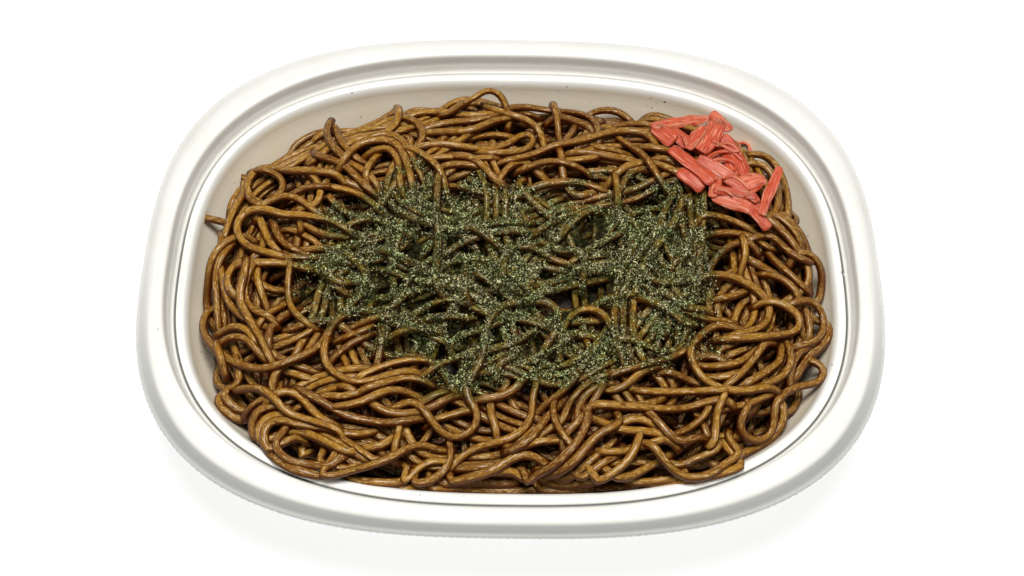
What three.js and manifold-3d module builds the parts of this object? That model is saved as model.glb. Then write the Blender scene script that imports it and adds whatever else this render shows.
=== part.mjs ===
// Fried noodles in an oval take-away tray, with green laver flakes and shreds of red pickled ginger.
// Millimetres, +Z up, +X along the tray. The origin is on the ground under the tray's centre.
import * as THREE from "three";
import { mergeVertices } from "three/addons/utils/BufferGeometryUtils.js";
import Module from "manifold-3d";

const wasm = await Module();
wasm.setup();

// Tray
const TRAY_LENGTH = 250;
const TRAY_WIDTH = 192.6;
const LIP_HEIGHT = 36; // the rim's outer edge over the ground
const CROWN_RISE = 4.1; // the rim's flat crown over its outer edge
const SHEET = 1.4; // thickness of the moulded sheet
const SHOULDER_DROP = 7; // the shoulder's inner edge under the outer edge
const SHOULDER_INSET = 15.2; // and how far it lies in from the outer edge
const WALL_ANGLE = THREE.MathUtils.degToRad(63);
const FLOOR_FILLET = 9;
const AROUND = 54; // points round the oval
const CORE_AROUND = 27; // and round what lies inside it
const OUTER_SQUARENESS = 2.84; // exponents of the oval: 2 is an ellipse, more is squarer
const CROWN_SQUARENESS = 2.58;
const WALL_SQUARENESS = 2.72;
const CROWN_INSET = 8;

// Contents
const GAP = 0.4; // between pieces that touch
const NOODLE = 3.1; // noodle thickness
const HEAP_EDGE_HEIGHT = 21; // where the heap meets the wall
const HEAP_TOP_HEIGHT = 37;
const HEAP_CREST = 2.4; // exponent of the heap's crown: more is flatter on top
const HEAP_FLANK = 0.8; // exponent of its flank: less is steeper at the wall
const LUMP_HEIGHT = 0.9;
const CORE_SINK = 1.8; // the core's top under the heap's surface
const CORE_RINGS = [1, 0.9, 0.74, 0.54, 0.28]; // shares of the heap's oval
const STRANDS = 21;
const STRAND_TRIES = 14; // courses drawn for each strand, of which the barest is kept
const STRAND_STEP = 7;
const STRAND_STEPS = 16;
const STRAND_SIDES = 5;
const STRAND_SINK = 0.7; // how deep a strand lies in what carries it
const STRAND_SAG = 0.3; // and how far it dips in a step where nothing carries it
const STRAND_LIMIT = 0.94; // a strand ends before this reach of the heap's oval
const WALL_ZONE = { from: 0.68, to: 0.92 }; // reaches over which the wall turns strands back
const WALL_TURN = 1.9; // strength of that turn, in tightest bends
const TIGHTEST_BEND = 11; // smallest radius that a strand turns with
const FLAKES = 26;
const FLAKE = { length: 3, width: 1.8, thick: 0.8 };
const FLAKE_ZONE = { x: -2, y: 2, halfLength: 68, halfWidth: 38 };

// Pickled ginger
const GINGER = { x: 74, y: 39.5, halfLength: 27, halfWidth: 16.5, turn: -Math.PI / 4 };
const GINGER_AROUND = 12;
const GINGER_CORE = 0.72; // the mound's share of the patch
const GINGER_CORE_RISE = 3.6;
const SHRED = { width: 3.2, thick: 1.6, step: 5.5, steps: 4 };
const SHREDS = 11;

// A repeatable stream of numbers from 0 to 1.
function randomStream(seed) {
  let state = seed >>> 0;
  return () => {
    state = (state + 0x6d2b79f5) >>> 0;
    let t = Math.imul(state ^ (state >>> 15), 1 | state);
    t = (t + Math.imul(t ^ (t >>> 7), 61 | t)) ^ t;
    return ((t ^ (t >>> 14)) >>> 0) / 4294967296;
  };
}

const between = (random, low, high) => low + (high - low) * random();

// ---- Ovals

// The oval that lies inset from the rim's outer edge.
function ovalAt(inset, squareness = squarenessAt(inset)) {
  return {
    halfLength: TRAY_LENGTH / 2 - inset,
    halfWidth: TRAY_WIDTH / 2 - inset,
    squareness,
  };
}

function squarenessAt(inset) {
  const { lerp, clamp } = THREE.MathUtils;
  if (inset < CROWN_INSET) {
    return lerp(OUTER_SQUARENESS, CROWN_SQUARENESS, inset / CROWN_INSET);
  }
  const towardsWall = (inset - CROWN_INSET) / (SHOULDER_INSET - CROWN_INSET);
  return lerp(CROWN_SQUARENESS, WALL_SQUARENESS, clamp(towardsWall, 0, 1));
}

// How far out a point is: 0 at the centre, 1 on the oval.
function reach({ halfLength, halfWidth, squareness: n }, x, y) {
  const sum = Math.abs(x / halfLength) ** n + Math.abs(y / halfWidth) ** n;
  return sum ** (1 / n);
}

function outwardNormal({ halfLength, halfWidth, squareness: n }, x, y) {
  const nx = Math.sign(x) * Math.abs(x / halfLength) ** (n - 1) / halfLength;
  const ny = Math.sign(y) * Math.abs(y / halfWidth) ** (n - 1) / halfWidth;
  return new THREE.Vector2(nx, ny).normalize();
}

// Points round an oval, scaled about its centre, at the height that heightOf gives.
function ring(oval, scale, heightOf, count = AROUND) {
  const points = [];
  for (let i = 0; i < count; i++) {
    const angle = (2 * Math.PI * i) / count;
    const x = oval.halfLength * Math.cos(angle);
    const y = oval.halfWidth * Math.sin(angle);
    const out = scale / reach(oval, x, y);
    points.push(new THREE.Vector3(x * out, y * out, heightOf(x * out, y * out)));
  }
  return points;
}

// A closed skin over rings, from a first centre point to a last one.
function loft(first, rings, last) {
  const count = rings[0].length;
  const points = [first, ...rings.flat(), last];
  const end = points.length - 1;
  const index = [];
  for (let i = 0; i < count; i++) {
    const next = (i + 1) % count;
    index.push(0, 1 + next, 1 + i);
    for (let k = 0; k + 1 < rings.length; k++) {
      const low = 1 + k * count;
      const high = low + count;
      index.push(low + i, low + next, high + i, low + next, high + next, high + i);
    }
    const top = 1 + (rings.length - 1) * count;
    index.push(top + i, top + next, end);
  }
  return new THREE.BufferGeometry().setFromPoints(points).setIndex(index);
}

// ---- Solids

function solidOf(geometry) {
  const bare = new THREE.BufferGeometry();
  bare.setAttribute("position", geometry.getAttribute("position"));
  bare.setIndex(geometry.index);
  const merged = mergeVertices(bare, 1e-3);
  const vertProperties = merged.getAttribute("position").array;
  const triVerts = new Uint32Array(merged.index.array);
  return new wasm.Manifold(new wasm.Mesh({ numProp: 3, vertProperties, triVerts }));
}

// The largest closed skin of a solid: it leaves out loose scraps and fills sealed hollows.
function wholeBody(solid) {
  const skins = solid.decompose();
  return skins.reduce((most, skin) => (skin.volume() > most.volume() ? skin : most));
}

function fuse(core, pieces) {
  return wholeBody(pieces.reduce((sum, piece) => sum.add(solidOf(piece)), solidOf(core)));
}

function geometryOf(solid) {
  const { vertProperties, triVerts, numProp } = solid.getMesh();
  const geometry = new THREE.BufferGeometry();
  const points = new THREE.InterleavedBuffer(vertProperties, numProp);
  geometry.setAttribute("position", new THREE.InterleavedBufferAttribute(points, 3, 0));
  geometry.setIndex(new THREE.BufferAttribute(triVerts, 1));
  return geometry.toNonIndexed();
}

// ---- Tray

// The sheet's upper face from the rim's edge in to the floor.
// x is the inset, and y the height over the rim's outer edge.
function trayProfile() {
  const floorDrop = LIP_HEIGHT - SHEET;
  const slope = new THREE.Vector2(Math.cos(WALL_ANGLE), -Math.sin(WALL_ANGLE));
  const corner = cornerOfFloor(floorDrop);
  const filletStart = corner.clone().addScaledVector(slope, -FLOOR_FILLET / 2);
  const profile = new THREE.Path();
  profile.moveTo(0, SHEET);
  profile.lineTo(0.9, SHEET + 0.1);
  profile.lineTo(2.3, CROWN_RISE - 0.7);
  profile.quadraticCurveTo(2.7, CROWN_RISE, 3.5, CROWN_RISE);
  profile.lineTo(6.8, CROWN_RISE);
  profile.quadraticCurveTo(7.8, CROWN_RISE, 8.2, CROWN_RISE - 1.2);
  profile.lineTo(9.6, -1.4);
  profile.lineTo(10.8, -3.3);
  profile.quadraticCurveTo(13.6, -3.8, SHOULDER_INSET, -SHOULDER_DROP);
  profile.lineTo(filletStart.x, filletStart.y);
  profile.quadraticCurveTo(corner.x, corner.y, corner.x + FLOOR_FILLET, -floorDrop);
  return profile.getPoints(2);
}

// Where the wall's line meets the floor's.
function cornerOfFloor(floorDrop) {
  const run = (floorDrop - SHOULDER_DROP) / Math.tan(WALL_ANGLE);
  return new THREE.Vector2(SHOULDER_INSET + run, -floorDrop);
}

// The same outline moved to its lower side.
function lowerFace(profile, thickness) {
  return profile.map((point, i) => {
    const before = profile[Math.max(i - 1, 0)];
    const after = profile[Math.min(i + 1, profile.length - 1)];
    const along = after.clone().sub(before).normalize();
    return new THREE.Vector2(point.x + along.y * thickness, point.y - along.x * thickness);
  });
}

function profileRings(profile, count = AROUND) {
  return profile.map(({ x, y }) => ring(ovalAt(x), 1, () => y + LIP_HEIGHT, count));
}

function trayGeometry() {
  const upper = trayProfile();
  const lower = lowerFace(upper, SHEET);
  lower[0].set(0, 0);
  lower[lower.length - 1].y = -LIP_HEIGHT;
  const underside = profileRings(lower).reverse();
  const topside = profileRings(upper);
  const ground = new THREE.Vector3(0, 0, 0);
  const floor = new THREE.Vector3(0, 0, SHEET);
  return loft(ground, [...underside, ...topside], floor);
}

// ---- Heap of noodles

// The oval inside the wall at a height, a gap away from it.
function insideWallAt(height) {
  const underShoulder = LIP_HEIGHT - SHOULDER_DROP - height;
  const inset = SHOULDER_INSET + underShoulder / Math.tan(WALL_ANGLE);
  return ovalAt(inset + GAP / Math.sin(WALL_ANGLE));
}

const heapOval = insideWallAt(HEAP_EDGE_HEIGHT - CORE_SINK);

function heapHeight(x, y) {
  const out = Math.min(reach(heapOval, x, y), 1);
  const crown = (HEAP_TOP_HEIGHT - HEAP_EDGE_HEIGHT) * (1 - out ** HEAP_CREST) ** HEAP_FLANK;
  const waves = Math.sin(x / 17 + 1) * Math.cos(y / 13) + 0.6 * Math.sin((x - 2 * y) / 23);
  const lumps = LUMP_HEIGHT * waves * Math.min(1, 4 * (1 - out)); // none at the wall
  return HEAP_EDGE_HEIGHT + crown + lumps;
}

const coreHeight = (x, y) => heapHeight(x, y) - CORE_SINK;

// The bare heap: it follows the tray's inside, a gap away, up to the heap's edge.
function heapCore() {
  const upper = trayProfile();
  const coreEdge = HEAP_EDGE_HEIGHT - CORE_SINK - LIP_HEIGHT;
  const inside = lowerFace(upper, -GAP).filter(({ y }) => y < coreEdge);
  const below = profileRings(inside, CORE_AROUND).reverse();
  const above = CORE_RINGS.map((scale) => ring(heapOval, scale, coreHeight, CORE_AROUND));
  const foot = new THREE.Vector3(0, 0, SHEET + GAP);
  const crest = new THREE.Vector3(0, 0, coreHeight(0, 0));
  return loft(foot, [...below, ...above], crest);
}

// A grid of the highest points laid so far, which the next strand rests on.
class Relief {
  constructor(heightOf, cell = 1.2) {
    this.cell = cell;
    this.columns = Math.ceil(TRAY_LENGTH / cell);
    this.rows = Math.ceil(TRAY_WIDTH / cell);
    this.heights = new Float32Array(this.columns * this.rows);
    for (let row = 0; row < this.rows; row++) {
      for (let column = 0; column < this.columns; column++) {
        const { x, y } = this.centre(column, row);
        this.heights[row * this.columns + column] = heightOf(x, y);
      }
    }
  }

  centre(column, row) {
    const x = (column + 0.5) * this.cell - TRAY_LENGTH / 2;
    const y = (row + 0.5) * this.cell - TRAY_WIDTH / 2;
    return { x, y };
  }

  // Calls visit(index, squared distance) for each cell within radius of a point.
  near(point, radius, visit) {
    const firstColumn = Math.floor((point.x - radius + TRAY_LENGTH / 2) / this.cell);
    const firstRow = Math.floor((point.y - radius + TRAY_WIDTH / 2) / this.cell);
    const span = Math.ceil((2 * radius) / this.cell);
    for (let row = firstRow; row <= firstRow + span; row++) {
      for (let column = firstColumn; column <= firstColumn + span; column++) {
        const { x, y } = this.centre(column, row);
        const away = (x - point.x) ** 2 + (y - point.y) ** 2;
        if (away < radius * radius) visit(row * this.columns + column, away);
      }
    }
  }

  // The height at which a round strand's centre rests.
  rest(point, radius) {
    let height = -Infinity;
    this.near(point, radius, (i, away) => {
      height = Math.max(height, this.heights[i] + Math.sqrt(radius * radius - away));
    });
    return height;
  }

  lay(points, radius) {
    const curve = new THREE.CatmullRomCurve3(points);
    for (const point of curve.getPoints(4 * points.length)) {
      this.near(point, radius, (i, away) => {
        const top = point.z + Math.sqrt(radius * radius - away);
        this.heights[i] = Math.max(this.heights[i], top);
      });
    }
  }
}

// A strand's course in plan: it wanders, and turns back along the wall where it nears it.
function strandCourse(random, start, heading) {
  const course = [start.clone()];
  const direction = new THREE.Vector2(Math.cos(heading), Math.sin(heading));
  const wave = between(random, 70, 150);
  const phase = between(random, 0, 2 * Math.PI);
  const bend = between(random, 0.2, 0.75) / TIGHTEST_BEND;
  for (let i = 1; i < STRAND_STEPS; i++) {
    const here = course[i - 1];
    const outward = outwardNormal(heapOval, here.x, here.y);
    const out = reach(heapOval, here.x, here.y);
    const nearWall = THREE.MathUtils.smoothstep(out, WALL_ZONE.from, WALL_ZONE.to);
    const facingOut = Math.max(0, direction.dot(outward) + 0.15);
    const away = direction.cross(outward) > 0 ? -1 : 1;
    let turn = bend * Math.sin((2 * Math.PI * i * STRAND_STEP) / wave + phase);
    turn += (WALL_TURN * away * facingOut * nearWall) / TIGHTEST_BEND;
    turn = THREE.MathUtils.clamp(turn, -1 / TIGHTEST_BEND, 1 / TIGHTEST_BEND);
    direction.rotateAround(new THREE.Vector2(), turn * STRAND_STEP);
    const next = here.clone().addScaledVector(direction, STRAND_STEP);
    if (reach(heapOval, next.x, next.y) > STRAND_LIMIT) break;
    course.push(next);
  }
  return course;
}

// How far a point is out of the ginger's oval patch: 1 on its edge.
function gingerReach(x, y) {
  const local = new THREE.Vector2(x - GINGER.x, y - GINGER.y);
  local.rotateAround(new THREE.Vector2(), -GINGER.turn);
  return Math.hypot(local.x / GINGER.halfLength, local.y / GINGER.halfWidth);
}

// The longest stretch of a course that keeps off the ginger.
function clearOfGinger(course) {
  const margin = 1 + (NOODLE / 2 + 1) / GINGER.halfWidth;
  let longest = [];
  let stretch = [];
  for (const point of course) {
    if (gingerReach(point.x, point.y) > margin) {
      stretch.push(point);
    } else {
      stretch = [];
    }
    if (stretch.length > longest.length) longest = [...stretch];
  }
  return longest;
}

// How many of a course's points lie close to an earlier strand, or are missing.
function crowding(relief, course) {
  const room = 1.6 * NOODLE;
  const covered = course.filter((point) => {
    const bare = coreHeight(point.x, point.y) + room;
    return relief.rest(point, room) > bare + NOODLE / 2;
  });
  return covered.length + (STRAND_STEPS - course.length);
}

// Lays a course on the relief: its centre line in space, sunk a little into what carries it.
function layStrand(relief, course) {
  const radius = NOODLE / 2;
  const heights = course.map((point) => relief.rest(point, radius) - STRAND_SINK);
  for (let pass = 0; pass < 12; pass++) {
    for (let i = 1; i + 1 < heights.length; i++) {
      const level = (heights[i - 1] + heights[i + 1]) / 2 - STRAND_SAG;
      heights[i] = Math.max(heights[i], level);
    }
  }
  const points = course.map(({ x, y }, i) => new THREE.Vector3(x, y, heights[i]));
  relief.lay(points, radius);
  return points;
}

// A tube along points, with flat ends.
function tube(points, outline, steps) {
  const shape = new THREE.Shape(outline);
  const extrudePath = new THREE.CatmullRomCurve3(points);
  return new THREE.ExtrudeGeometry(shape, { steps, extrudePath });
}

function roundOutline(radius, sides) {
  const corners = Array.from({ length: sides }, (_, i) => (2 * Math.PI * i) / sides);
  return corners.map((angle) => new THREE.Vector2(Math.cos(angle), Math.sin(angle)).multiplyScalar(radius));
}

// Start points spread evenly over the heap on a spiral.
function spreadOver(oval, count, most) {
  const goldenAngle = Math.PI * (3 - Math.sqrt(5));
  return Array.from({ length: count }, (_, i) => {
    const out = most * Math.sqrt((i + 0.5) / count);
    const angle = i * goldenAngle;
    return new THREE.Vector2(
      oval.halfLength * out * Math.cos(angle),
      oval.halfWidth * out * Math.sin(angle),
    );
  });
}

function heapStrands() {
  const random = randomStream(7);
  const relief = new Relief(coreHeight);
  const strands = [];
  for (let i = 0; i < STRANDS; i++) {
    const courses = spreadOver(heapOval, STRAND_TRIES, 0.9).map((start) => {
      const heading = between(random, 0, 2 * Math.PI);
      return clearOfGinger(strandCourse(random, start, heading));
    });
    const cost = courses.map((course) => crowding(relief, course));
    strands.push(layStrand(relief, courses[cost.indexOf(Math.min(...cost))]));
  }
  return strands;
}

// Small chips of laver on the strands' tops, in the middle of the heap.
function laverFlakes(strands) {
  const random = randomStream(23);
  const spots = strands.flat().filter(({ x, y }) => {
    const { halfLength, halfWidth } = FLAKE_ZONE;
    return Math.hypot((x - FLAKE_ZONE.x) / halfLength, (y - FLAKE_ZONE.y) / halfWidth) < 1;
  });
  const every = Math.max(1, Math.floor(spots.length / FLAKES));
  return spots
    .filter((_, i) => i % every === 0)
    .map((spot) => {
      const chip = new THREE.BoxGeometry(FLAKE.length, FLAKE.width, FLAKE.thick);
      chip.rotateX(between(random, -0.4, 0.4));
      chip.rotateZ(between(random, 0, Math.PI));
      return chip.translate(spot.x, spot.y, spot.z + NOODLE / 2);
    });
}

function noodleGeometry() {
  const strands = heapStrands();
  const outline = roundOutline(NOODLE / 2, STRAND_SIDES);
  const tubes = strands.map((points) => tube(points, outline, points.length - 1));
  return geometryOf(fuse(heapCore(), [...tubes, ...laverFlakes(strands)]));
}

// ---- Pickled ginger

const gingerFloor = (x, y) => coreHeight(x, y) + 2 * GAP;

// From the patch's own axes to the tray's.
function fromPatch(along, across) {
  const point = new THREE.Vector2(along, across).rotateAround(new THREE.Vector2(), GINGER.turn);
  return point.add(new THREE.Vector2(GINGER.x, GINGER.y));
}

// A low mound that the shreds are fused to.
function gingerCore() {
  const patchRing = (scale, rise) =>
    Array.from({ length: GINGER_AROUND }, (_, i) => {
      const angle = (2 * Math.PI * i) / GINGER_AROUND;
      const along = scale * GINGER.halfLength * Math.cos(angle);
      const across = scale * GINGER.halfWidth * Math.sin(angle);
      const { x, y } = fromPatch(along, across);
      return new THREE.Vector3(x, y, gingerFloor(x, y) + rise);
    });
  const rings = [
    patchRing(GINGER_CORE, 0.2),
    patchRing(GINGER_CORE, 1.4),
    patchRing(GINGER_CORE / 2, GINGER_CORE_RISE - 0.5),
  ];
  const middle = gingerFloor(GINGER.x, GINGER.y);
  const foot = new THREE.Vector3(GINGER.x, GINGER.y, middle + 0.2);
  const crest = new THREE.Vector3(GINGER.x, GINGER.y, middle + GINGER_CORE_RISE);
  return loft(foot, rings, crest);
}

// The height that the first shreds rest on: the mound, and the noodles round it.
function gingerBed(x, y) {
  const out = Math.min(1, gingerReach(x, y) / GINGER_CORE);
  return gingerFloor(x, y) + (GINGER_CORE_RISE - 0.8) * (1 - out * out);
}

// A shred's centre line: one gentle bend about its middle.
function shredCourse(random, middle, heading) {
  const bend = between(random, -0.05, 0.05);
  const half = SHRED.steps / 2;
  const course = [];
  for (let i = -half; i <= half; i++) {
    const run = i * SHRED.step;
    const angle = heading + (bend * run) / 2;
    const offset = new THREE.Vector2(run * Math.cos(angle), run * Math.sin(angle));
    course.push(offset.add(middle));
  }
  return course.filter(({ x, y }) => gingerReach(x, y) < 0.95);
}

function gingerGeometry() {
  const random = randomStream(5);
  const relief = new Relief(gingerBed);
  const { width, thick } = SHRED;
  const outline = [
    new THREE.Vector2(-thick / 2, -width / 2),
    new THREE.Vector2(thick / 2, -width / 2),
    new THREE.Vector2(thick / 2, width / 2),
    new THREE.Vector2(-thick / 2, width / 2),
  ];
  const shreds = spreadOver(GINGER, SHREDS, 0.7).map((spot) => {
    const heading = GINGER.turn + between(random, -1, 1);
    const course = shredCourse(random, fromPatch(spot.x, spot.y), heading);
    const points = course.map(({ x, y }) => {
      const height = relief.rest({ x, y }, width / 2) - width / 2 + thick / 2;
      return new THREE.Vector3(x, y, height);
    });
    relief.lay(points, thick / 2);
    return tube(points, outline, points.length - 1);
  });
  return geometryOf(fuse(gingerCore(), shreds));
}

// ---- The part

function named(name, geometry, color, roughness) {
  const material = new THREE.MeshStandardMaterial({ color, roughness, metalness: 0 });
  const mesh = new THREE.Mesh(geometry, material);
  mesh.name = name;
  return mesh;
}

const yakisoba = new THREE.Group();
yakisoba.add(named("tray", trayGeometry(), 0xf4f3ee, 0.42));
yakisoba.add(named("noodles", noodleGeometry(), 0x8a5a1e, 0.38));
yakisoba.add(named("pickled_ginger", gingerGeometry(), 0xe8485a, 0.3));

export default yakisoba;
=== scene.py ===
"""Fried noodles in a white oval take-away tray, with laver flakes and pickled ginger.

Lengths are in millimetres until a mesh is made, and +Z is up. The origin is on the ground
under the tray's centre. Each kind of piece has its own function, and main() puts them together.
The uppermost strands, the ginger and the sauce specks are placed by points of the camera's
image, in pixels, which a ray from the camera carries onto whatever lies there.
"""

import math

import bmesh
import bpy
import numpy as np
from mathutils import Matrix, Vector
from mathutils.bvhtree import BVHTree


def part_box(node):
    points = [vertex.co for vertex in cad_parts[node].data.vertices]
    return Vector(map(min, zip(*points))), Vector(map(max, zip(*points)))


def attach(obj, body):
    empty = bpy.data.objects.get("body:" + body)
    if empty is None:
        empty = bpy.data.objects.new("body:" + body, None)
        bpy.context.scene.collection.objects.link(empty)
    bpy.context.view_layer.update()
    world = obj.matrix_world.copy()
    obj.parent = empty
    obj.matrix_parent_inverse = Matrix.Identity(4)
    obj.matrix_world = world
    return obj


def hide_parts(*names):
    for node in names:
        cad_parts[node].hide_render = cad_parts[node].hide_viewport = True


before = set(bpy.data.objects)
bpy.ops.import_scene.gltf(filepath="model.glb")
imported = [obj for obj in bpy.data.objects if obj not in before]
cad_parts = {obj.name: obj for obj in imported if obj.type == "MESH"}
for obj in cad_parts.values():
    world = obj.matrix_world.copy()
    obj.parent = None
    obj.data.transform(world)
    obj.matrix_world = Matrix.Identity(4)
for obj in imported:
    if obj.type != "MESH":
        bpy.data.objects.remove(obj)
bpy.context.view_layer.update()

MM = 0.001
TINY = 1e-6
FULL_TURN = 2 * math.pi


def millimetres(corner):
    return np.array(corner) / MM


TRAY_HALF_LENGTH, TRAY_HALF_WIDTH, TRAY_TOP = millimetres(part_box("tray")[1])

# Tray
CROWN_RISE = 4.1
LIP_HEIGHT = TRAY_TOP - CROWN_RISE
SHEET = 1.4
SHOULDER_DROP = 7.0
SHOULDER_INSET = 15.2
# The wall's rise for each millimetre inwards, and for each millimetre along the wall.
WALL_SLOPE = math.tan(math.radians(63))
WALL_RISE = 0.89
FLOOR_FILLET = 9.0
TRAY_AROUND = 720
LIP_RIBS = 320
LIP_RIB_DEPTH = 0.28
LIP_RIB_WIDTH = 1.2
# The skirt's band of painted shade, at the sides and at the front: its inner edge, its lip's and its
# shade.
SKIRT_INSETS = (5.6, 3.4)
LIP_INSETS = (1.4, 0.5)
SKIRT_SHADES = (0.12, 1.0)
SKIRT_BLEND = 0.8
LIP_SHADE = 0.5
# The dark line of painted shade in the groove between riser and shoulder: its edges, and its
# shade in the middle and at the back. Shades change from the middle to this distance from it.
GROOVE_INSETS = (11.1, 11.6)
GROOVE_SHADES = (2.0, 0.6)
SHADE_REACH = 70
# How far the rim stands out past its oval at the front and at the back, by the inset.
FRONT_FLARE = ((0.0, 8.7, 13.0), (1.5, 1.7, 0.0))
BACK_FLARE = ((0.0, 8.0), (1.2, 0.0))
# The oval's exponent changes with the inset from the lip: 2 is an ellipse, more is squarer.
SQUARENESS_INSETS = (0.0, 8.0, SHOULDER_INSET)
SQUARENESS_VALUES = (2.84, 2.58, 2.72)
# The heights on the inner wall between which the warm film ends: partly a sauce film, partly
# painted shade and painted warm light bounced from the noodles.
FILM_HEIGHTS = (29.6, 30.8)

# Heap
NOODLE_RADIUS = 1.42
NOODLE_FLATNESS = 0.84
NOODLE_SQUARENESS = 2.5
HEAP_EDGE_HEIGHT = 21.0
HEAP_TOP_HEIGHT = 37.0
HEAP_CREST = 2.4
HEAP_FLANK = 0.8
FILLING_MARGIN = 3.5
CORE_MARGIN = 5.0
CORE_DEPTH = 9.0
CORE_GAP = 0.3
CORE_DETAIL = 6
GRID_CELL = 0.5
STAMP_REACH = 4.0
SLOPE_STEP = 0.75
LAYER_SEED = 23

# How a strand rests: its step, how fast it sags between rests, and how far it presses in.
STRAND_STEP = 2.0
FEWEST_STEPS = 3
SPLINE_STEPS = 8
SAG = 0.06
PRESS_IN = 0.25
SETTLE_ROUNDS = 5
SEEN_STEP = 4.0

# How deep in the heap a place counts as a crevice, over means of this width. Noodles in
# crevices are darkened: partly painted shade, partly sauce pooled there.
CREVICE_WIDTH = 7.0
CREVICE_START = 0.2
CREVICE_DEPTH = 2.2
CREVICE_EDGE = 12.0
CREVICE_LEAST = 0.25

# The ends that go down between other strands
TUCK_STEP = 1.8
TUCK_DROPS = (0.8, 2.4, 4.0)
TUCK_TURN = 0.25

# The strands that fill the heap: how much they bend, and how they turn back near the wall
LAYERS = {
    "noodles_bottom": {"most": 110, "length": (60, 110), "ceiling": -5.4, "around": 8},
    "noodles_middle": {"most": 170, "length": (45, 90), "ceiling": -4.0, "around": 10},
}
TOP_AROUND = 12
SPOTS_TRIED = 60
BENDS = (0.02, 0.05, 0.09)
BEND_WAVES = (25, 80)
LEAN_SHARE = 0.6
SHARPEST_TURN = 0.14
WALL_MARGIN = 1.0
WALL_NEAR = 0.8
WALL_BAND = 0.17
WALL_PUSH_MOST = 1.3
WALL_TURN_RADIUS = 9
WALL_SLACK = 0.15
OPEN_MIDDLE = 0.55
HEADING_SCATTER = 0.6
BUNDLE_COUNTS = (1, 4)
BUNDLE_GAP = 2.2 * NOODLE_RADIUS
BUNDLE_RADII = (0.9, 1.05)
BUNDLE_CUTS = (0, 4)
SEEN_LIFTS = (0.0, 0.5)
SEEN_RADII = (0.92, 1.08)

# How a sweep varies along a strand: by what share it swells, how far it rolls, in radians, and
# how long its waves are, in millimetres for each radian
UNEVEN = 0.06
ROLL = 0.5
THICKNESS_WAVES = (3, 9)
ROLL_WAVES = (8, 20)
WAVE_STARTS = (0, 6)
END_POWER = 12

# Laver: how many leaves there are of each kind, half their lengths, how slender they are and
# their tints. A larger spread keeps a kind to the places where laver is thickest.
LAVER_KINDS = {
    "laver_leaf": {
        "most": 36000, "half_length": (0.3, 0.8), "slender": (0.18, 0.4),
        "tint": (0.0, 0.85), "spread": 2.2,
    },
    "laver_crumbs": {
        "most": 48000, "half_length": (0.15, 0.4), "slender": (0.3, 0.6),
        "tint": (0.0, 0.95), "spread": 1.1,
    },
    "laver_shreds": {
        "most": 22000, "half_length": (0.6, 1.2), "slender": (0.1, 0.2),
        "tint": (0.2, 1.0), "spread": 2.0,
    },
    # Leaves whose pale tint is a painted highlight
    "laver_highlight_tips": {
        "most": 34000, "half_length": (0.2, 0.5), "slender": (0.25, 0.45),
        "tint": (0.85, 1.1), "spread": 1.4,
    },
}
LAVER_AREA = ([-85, -48], [88, 48])
LAVER_TRIES = 10
LAVER_DEPTH = 0.9
LAVER_LIFT = 0.1
LAVER_PILING = 1.5
LAVER_TILT = 0.75
LAVER_BRIDGE = 2.5
LAVER_FOLD = 0.8
LAVER_TAIL = 0.8
LAVER_LOPSIDED = 1.1
LAVER_FALL = 4.5
# Painted shade on laver below the heap's smooth surface: its most, where it starts and over what depth
LAVER_DULLEST = 0.5
LAVER_DULL_START = 0.5
LAVER_DULL_DEPTH = 4.0
LAVER_SEED = 5
LOBE_EDGE = 1.6
LOBE_BLEND = 0.9
LOBE_RAGGED = 0.5
LOBE_PATCH = 9.0
THIN_PATCH = 4.0
THIN_SHARE = 0.3
PATCH_WAVES = 12
PATCH_WAVE_SPREAD = (0.7, 1.5)
PATCH_SOFTNESS = 3

# Ginger and sauce specks
GINGER_STEP = 0.4 * STRAND_STEP
GINGER_UNEVEN = 0.1
GINGER_ROLL = 0.35
GINGER_ROUNDED = 0.4
GINGER_LAVER = 0.15
SPECK_SLENDER = (0.5, 1)
SPECK_FLATNESS = 3

# Floor, light and camera. The light's place and size are in metres, its power in watts.
FLOOR_HALF_WIDTH = 40000
LIGHT_PLACE = (0.01, 0.035, 0.95)
LIGHT_SIZE = 0.4
LIGHT_POWER = 8.4
WORLD_STRENGTH = 0.2
IMAGE_WIDTH = 1024
IMAGE_HEIGHT = 576
FOCAL_PIXELS = 1400
SENSOR_WIDTH = 36.0
NEAREST_SEEN = 10
CAMERA_AIM = Vector((0.24, -9.54, LIP_HEIGHT))
CAMERA_DISTANCE = 471.6
CAMERA_ELEVATION = math.radians(59.92)
CAMERA_ROLL = math.radians(0.72)
PIXELS_PER_MM = FOCAL_PIXELS / CAMERA_DISTANCE

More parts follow.
